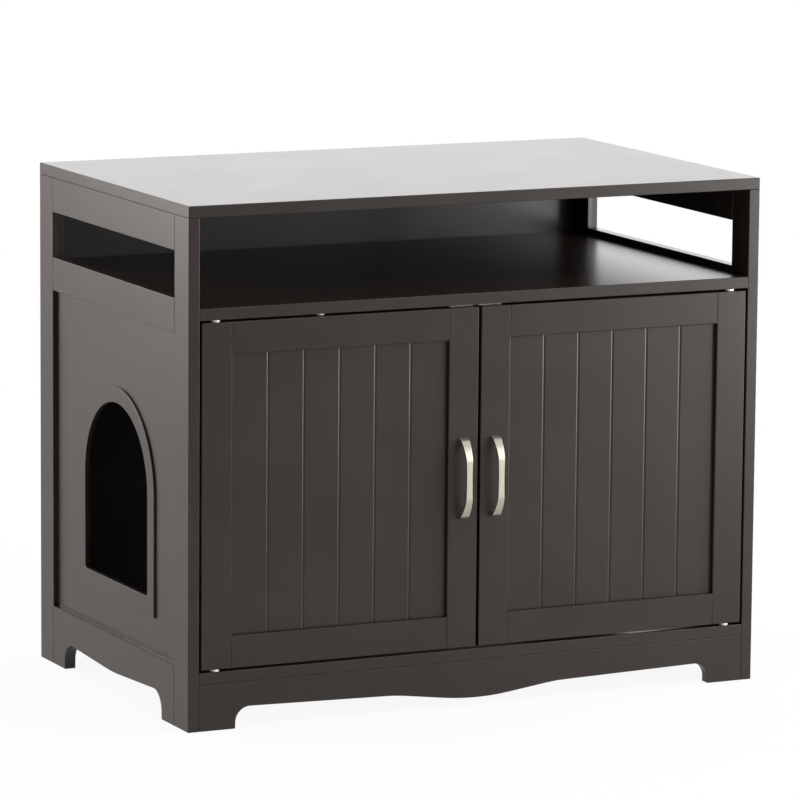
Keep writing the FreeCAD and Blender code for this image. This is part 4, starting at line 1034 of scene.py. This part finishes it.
@dataclass(frozen=True)
class FlatScrew:
    """A screw with a countersunk head and a cross recess, its head level with z = 0."""

    head_radius: float
    shank_radius: float
    length: float
    blade: float

    def shape(self) -> bmesh.types.BMesh:
        """The screw on the Z axis, its head up."""
        cone = self.head_radius - self.shank_radius
        lip = 0.25 * MM
        screw = lathe(
            [
                (0, -self.length),
                (self.shank_radius, -self.length),
                (self.shank_radius, -cone - lip),
                (self.head_radius, -lip),
                (self.head_radius, -lip * 0.3),
                (self.head_radius - lip * 0.5, 0),
                (0, 0),
            ],
            32,
        )
        return carved(screw, cross_recess(self.head_radius * 1.25, self.blade, 1.1 * MM))


def drive(
    name: str, body: Body, node: str, shape: bmesh.types.BMesh, steel: bpy.types.Material
) -> None:
    """Put one set of screws in the place of its CAD node."""
    Piece(name, body, "zinc_steel", node).finish(shape, steel)


@dataclass(frozen=True)
class ScrewSets:
    """Every visible set of screws, each in the place of its CAD node."""

    back_y: float = 257.5 * MM
    side_x: float = 389 * MM
    side_z: tuple = (130 * MM, 300 * MM, 470 * MM, 588 * MM)
    edge_x: float = 190 * MM
    edge_z: tuple = (67 * MM, 520.75 * MM)
    handle_x: float = 22.5 * MM
    handle_z: tuple = (247.75 * MM, 343.75 * MM)
    door_back_y: float = -222.5 * MM
    catch_x: float = 32 * MM
    catch_y: float = -212.5 * MM
    catch_z: float = 503 * MM
    strike_x: tuple = (8 * MM, 32 * MM)
    strike_y: float = -221.15 * MM
    strike_z: float = 509 * MM

    def build(self, steel: bpy.types.Material) -> None:
        """Make the screws of the back panels, the catch, the handles and the strike plates.

        Args:
            steel: Their finish.
        """
        spots = [(side.value * self.side_x, z) for side in Side for z in self.side_z]
        spots += [(side.value * self.edge_x, z) for side in Side for z in self.edge_z]
        back = FlatScrew(2.8 * MM, 1.5 * MM, 12 * MM, 0.9 * MM)
        seats = [Facing.BACK.matrix((x, self.back_y, z)) for x, z in spots]
        drive("rear_panel_screws", Body.CABINET, "back_panel_screws", repeated(back.shape(), seats), steel)

        catch = PanScrew(2.8 * MM, 1.82 * MM, 1.5 * MM, 23 * MM, 0.8 * MM)
        spots = [(side.value * self.catch_x, self.catch_y, self.catch_z) for side in Side]
        seats = [Facing.DOWN.matrix(spot) for spot in spots]
        drive("catch_housing_screws", Body.CABINET, "catch_screws", repeated(catch.shape(), seats), steel)
        for side in Side:
            self.build_door_screws(side, steel)

    def build_door_screws(self, side: Side, steel: bpy.types.Material) -> None:
        """Make the handle screws and strike plate screws of one door.

        Args:
            side: The door's side.
            steel: Their finish.
        """
        handle = PanScrew(4 * MM, 2.6 * MM, 2 * MM, 20 * MM, 1.1 * MM)
        x = side.value * self.handle_x
        seats = [Facing.BACK.matrix((x, self.door_back_y, z)) for z in self.handle_z]
        word, door = side.word, Body.door(side)
        shape = repeated(handle.shape(), seats)
        drive(f"{word}_handle_machine_screws", door, f"{word}_handle_screws", shape, steel)
        strike = FlatScrew(2.3 * MM, 1.4 * MM, 10 * MM, 0.7 * MM)
        spots = [(side.value * reach, self.strike_y, self.strike_z) for reach in self.strike_x]
        seats = [Facing.BACK.matrix(spot) for spot in spots]
        shape = repeated(strike.shape(), seats)
        drive(f"{word}_strike_plate_screws", door, f"{word}_strike_screws", shape, steel)


@dataclass(frozen=True)
class DoorBuffer:
    """The small round buffer under the shelf's edge, above the left door."""

    spot: Point = (-219 * MM, -230 * MM, 517 * MM)
    radius: float = 5.84 * MM
    height: float = 2.5 * MM

    def build(self, nylon: bpy.types.Material) -> None:
        """Make the buffer.

        Args:
            nylon: Its finish.
        """
        profile = [(0, 0), (self.radius, 0)]
        for share in (0.35, 0.6, 0.8, 0.95, 1.0):
            reach = self.radius * math.cos(share * math.pi / 2 * 0.75)
            profile.append((reach, self.height * math.sin(share * math.pi / 2)))
        shape = lathe([*profile, (0, self.height)], 40)
        bmesh.ops.transform(shape, matrix=Facing.DOWN.matrix(self.spot), verts=shape.verts[:])
        Piece("shelf_buffer", Body.CABINET, "white_nylon", "door_buffer").finish(shape, nylon)


# ---------------------------------------------------------------- the cabinet's own boards


@dataclass(frozen=True)
class RoundedBoard:
    """A lacquered board: its CAD solid with the bevels rounded over, as sanding leaves them."""

    node: str
    body: Body
    slot: str
    reach: float = 0.38 * MM
    least_turn: float = math.radians(30)
    most_turn: float = math.radians(60)

    def build(self, material: bpy.types.Material) -> bpy.types.Object:
        """Make the board.

        Args:
            material: Its lacquer.

        Returns:
            The piece.
        """
        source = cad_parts[self.node]
        mesh = bmesh.new()
        mesh.from_mesh(source.data)
        bmesh.ops.transform(mesh, matrix=source.matrix_world, verts=mesh.verts[:])
        bmesh.ops.remove_doubles(mesh, verts=mesh.verts[:], dist=TOUCH)
        bmesh.ops.dissolve_limit(
            mesh, angle_limit=math.radians(0.5), verts=mesh.verts[:], edges=mesh.edges[:]
        )
        arrises = [edge for edge in mesh.edges if self.is_arris(edge)]
        bevelled(mesh, arrises, self.reach, 3, clamp=True)
        spec = Piece(f"{self.node}_rounded", self.body, self.slot, self.node, 35.0)
        return spec.finish(mesh, material)

    def is_arris(self, edge: bmesh.types.BMEdge) -> bool:
        """Tell whether an edge is where a bevel or a groove's flank meets a face, turned outwards."""
        if len(edge.link_faces) != 2:
            return False
        return self.least_turn < edge.calc_face_angle_signed() < self.most_turn


@dataclass(frozen=True)
class Joinery:
    """The boards, posts, rails and panels, in the places of their CAD solids."""

    lacquer: SatinLacquer
    panel_lacquer: SatinLacquer
    # the back panels get a cooler, greyer copy of the boards' lacquer: painted shade colour of the dim
    # interior
    shade_tinted_back_lacquer: SatinLacquer = SatinLacquer(
        (0.0165, 0.0155, 0.0150), (0.0210, 0.0198, 0.0190), roughness=0.30
    )
    groove_round: float = 0.8 * MM
    boards: tuple[str, ...] = ("top_board", "shelf", "bottom_board", "front_apron")
    side_pieces: tuple[str, ...] = ("front_post", "rear_post", "top_rail", "middle_rail")
    door_pieces: tuple[str, ...] = ("hinge_stile", "meeting_stile", "top_rail", "bottom_rail")
    back_panels: tuple[str, ...] = ("lower_back_panel", "upper_back_panel")

    def build(self) -> None:
        """Make every lacquered board and dress the panels."""
        for node in self.boards:
            self.board(node, Body.CABINET)
        for side in Side:
            for piece in self.side_pieces:
                self.board(f"{side.word}_{piece}", Body.CABINET)
            for piece in self.door_pieces:
                self.board(f"{side.word}_door_{piece}", Body.door(side))
            self.grooved_panel(side)
            for name, finish in (
                (f"{side.word}_side_panel", self.panel_lacquer),
                (f"{side.word}_bottom_rail", self.lacquer),
            ):
                wear(name, finish.dress(name, BoardBox.of(name)))
        screened = ScreenedBoard(self.shade_tinted_back_lacquer)
        for name in self.back_panels:
            wear(name, screened.dress(name))

    def board(self, node: str, body: Body) -> None:
        """Make one board with its own lacquer."""
        finish = self.lacquer.dress(node, BoardBox.of(node))
        RoundedBoard(node, body, "dark_board").build(finish)

    def grooved_panel(self, side: Side) -> None:
        """Make a door's panel, the rims of its grooves rounded over."""
        node = f"{side.word}_door_panel"
        finish = self.panel_lacquer.dress(node, BoardBox.of(node))
        RoundedBoard(node, Body.door(side), "dark_panel", self.groove_round).build(finish)


def wear(node: str, material: bpy.types.Material) -> None:
    """Give a CAD node a finish.

    Args:
        node: The node's name.
        material: Its finish.
    """
    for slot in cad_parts[node].material_slots:
        slot.material = material
    LOG.info("dressed %s in %s", node, material.name)


# ---------------------------------------------------------------- the studio


@dataclass(frozen=True)
class StudioCamera:
    """The camera, at the photograph's angle and distance."""

    azimuth: float = math.radians(-25.519)
    elevation: float = math.radians(9.282)
    roll: float = math.radians(0.475)
    distance: float = 6.87985
    target: Point = (0.006595, 0.010, 0.35707)
    lens: float = 236.80
    sensor: float = 36.0

    def build(self) -> None:
        """Put the camera in place and make it the scene's own."""
        turn, lift = self.azimuth, self.elevation
        level_share = math.cos(lift)
        back = Vector((math.sin(turn) * level_share, -math.cos(turn) * level_share, math.sin(lift)))
        level = Vector((math.cos(turn), math.sin(turn), 0.0))
        upright = back.cross(level)
        right = level * math.cos(self.roll) + upright * math.sin(self.roll)
        up = upright * math.cos(self.roll) - level * math.sin(self.roll)
        data = bpy.data.cameras.new("studio_camera")
        data.lens, data.sensor_width = self.lens, self.sensor
        data.clip_start, data.clip_end = 0.1, 60.0
        camera = bpy.data.objects.new("studio_camera", data)
        bpy.context.scene.collection.objects.link(camera)
        place = Matrix((right, up, back)).transposed().to_4x4()
        place.translation = Vector(self.target) + back * self.distance
        camera.matrix_world = place
        bpy.context.scene.camera = camera


@dataclass(frozen=True)
class Softbox:
    """One soft lamp."""

    name: str
    spot: Point
    aim: Point
    size: tuple[float, float]
    power: float
    colour: Colour = (1.0, 1.0, 1.0)

    def build(self) -> None:
        """Hang the lamp and turn it to its aim."""
        data = bpy.data.lights.new(self.name, "AREA")
        data.shape = "RECTANGLE"
        data.size, data.size_y = self.size
        data.energy = self.power
        data.color = self.colour
        lamp = bpy.data.objects.new(self.name, data)
        bpy.context.scene.collection.objects.link(lamp)
        lamp.location = self.spot
        lamp.rotation_euler = (Vector(self.spot) - Vector(self.aim)).to_track_quat("Z", "Y").to_euler()
        lamp.visible_camera = False


@dataclass(frozen=True)
class Studio:
    """A plain pale floor under a white sky, with soft lamps."""

    ambient: float = 0.36
    sky_gleam: float = 0.24
    floor_gleam: float = 0.62
    floor_radius: float = 4.0
    floor_tone: float = 0.84
    floor_drop: float = 0.05 * MM
    paper_share: float = 0.92
    lamps: tuple[Softbox, ...] = (
        Softbox("overhead_softbox", (0.0, 0.3, 3.4), (0.0, 0.0, 0.3), (3.4, 2.6), 42.0),
        Softbox("front_right_softbox", (1.95, -1.75, 0.75), (0.25, -0.2, 0.45), (1.2, 1.5), 35.0),
        Softbox("front_softbox", (1.2, -2.35, 1.7), (0.1, -0.2, 0.4), (1.4, 2.4), 15.0),
        Softbox("edge_softbox", (1.95, -0.80, 0.66), (0.1, -0.1, 0.45), (0.5, 1.3), 26.0),
        Softbox("right_softbox", (3.2, -0.4, 1.4), (0.0, 0.0, 0.4), (1.8, 2.2), 18.0),
        Softbox("rear_right_softbox", (2.2, 4.2, 1.3), (0.2, 0.0, 0.4), (4.2, 2.4), 62.0),
        Softbox(
            "rear_left_softbox", (-3.4, 3.2, 1.2), (0.0, 0.0, 0.4), (2.4, 2.2), 232.0, (1.0, 0.92, 0.89)
        ),
    )

    def build(self) -> None:
        """Make the world, the floor and the lamps."""
        self.light_world()
        self.lay_floor()
        for lamp in self.lamps:
            lamp.build()

    def light_world(self) -> None:
        """White where the camera or glass looks, and dimmer in reflections and as plain light."""
        world = bpy.data.worlds.new("white_sky")
        bpy.context.scene.world = world
        world.use_nodes = True
        graph = Graph(world.node_tree)
        rays = graph.node("ShaderNodeLightPath").outputs
        seen = Field(graph, rays["Is Camera Ray"]).most(Field(graph, rays["Is Transmission Ray"]))
        glossy = Field(graph, rays["Is Glossy Ray"])
        strength = self.ambient + (1 - self.ambient) * seen + (self.sky_gleam - self.ambient) * glossy
        sky = graph.node("ShaderNodeBackground", None, {"Color": (1, 1, 1, 1), "Strength": strength})
        graph.node("ShaderNodeOutputWorld", None, {"Surface": sky.outputs[0]})

    def lay_floor(self) -> None:
        """A round pale floor that keeps a soft shadow, and is clear from below."""
        shape = bmesh.new()
        bmesh.ops.create_circle(shape, cap_ends=True, segments=96, radius=self.floor_radius)
        bmesh.ops.translate(shape, vec=(0.0, 0.0, -self.floor_drop), verts=shape.verts)
        shape.normal_update()
        bmesh.ops.reverse_faces(shape, faces=[face for face in shape.faces if face.normal.z < 0])
        floor = link_mesh("floor", shape)
        material = bpy.data.materials.new("pale_floor")
        material.use_nodes = True
        graph = Graph(material.node_tree)
        tone = (self.floor_tone, self.floor_tone, self.floor_tone, 1.0)
        matt = graph.node("ShaderNodeBsdfDiffuse", None, {"Color": tone})
        rays = graph.node("ShaderNodeLightPath").outputs
        camera, glossy = Field(graph, rays["Is Camera Ray"]), Field(graph, rays["Is Glossy Ray"])
        strength = camera + self.floor_gleam * glossy
        paper = graph.node("ShaderNodeEmission", None, {"Color": (1, 1, 1, 1), "Strength": strength})
        away = graph.vector("LENGTH", graph.place())
        fade = Field(graph, away.outputs[1]).step(0.6, 2.4)
        share = camera.most(glossy) * (self.paper_share + (1 - self.paper_share) * fade)
        layers = {0: share, 1: matt.outputs[0], 2: paper.outputs[0]}
        mix = graph.node("ShaderNodeMixShader", None, layers)
        under = graph.node("ShaderNodeNewGeometry").outputs["Backfacing"]
        clear = graph.node("ShaderNodeBsdfTransparent")
        faces = {0: under, 1: mix.outputs[0], 2: clear.outputs[0]}
        sided = graph.node("ShaderNodeMixShader", None, faces)
        graph.node("ShaderNodeOutputMaterial", None, {"Surface": sided.outputs[0]})
        floor.data.materials.append(material)


def main() -> None:
    """Build the studio, dress the boards and make the finer pieces."""
    logging.basicConfig(level=logging.INFO, format="%(name)s: %(message)s")
    bpy.context.scene.view_settings.view_transform = "Standard"
    StudioCamera().build()
    Studio().build()

    lacquer = SatinLacquer()
    panel_lacquer = SatinLacquer(roughness=0.30)
    Joinery(lacquer, panel_lacquer).build()

    nickel = BrushedNickel().dress()
    steel = PlatedSteel().dress()
    cast = PlatedSteel("cast_zinc", (0.17, 0.17, 0.18), (0.24, 0.23, 0.22), 0.46, 0.8 * MM).dress()
    nylon = Moulded("white_nylon", (0.86, 0.87, 0.85), (0.78, 0.79, 0.76), 0.40).dress()
    plastic = Moulded("matt_black_plastic", (0.016, 0.016, 0.018), (0.028, 0.028, 0.030), 0.48).dress()
    ferrite = Moulded("sintered_ferrite", (0.035, 0.035, 0.037), (0.060, 0.058, 0.056), 0.60).dress()

    handle, trim, pivots = BowHandle(), EntranceTrim(), DoorPivots()
    for side in Side:
        handle.build(side, nickel)
        trim.build(side, lacquer)
        pivots.build(side, nylon, steel)
        wear(f"{side.word}_strike_plate", steel)
    CamLocks().build(cast)
    ScrewSets().build(steel)
    DoorBuffer().build(nylon)
    wear("cam_bolts", steel)
    wear("magnetic_catch_housing", plastic)
    wear("catch_magnets", ferrite)


if __name__ == "__main__":
    main()
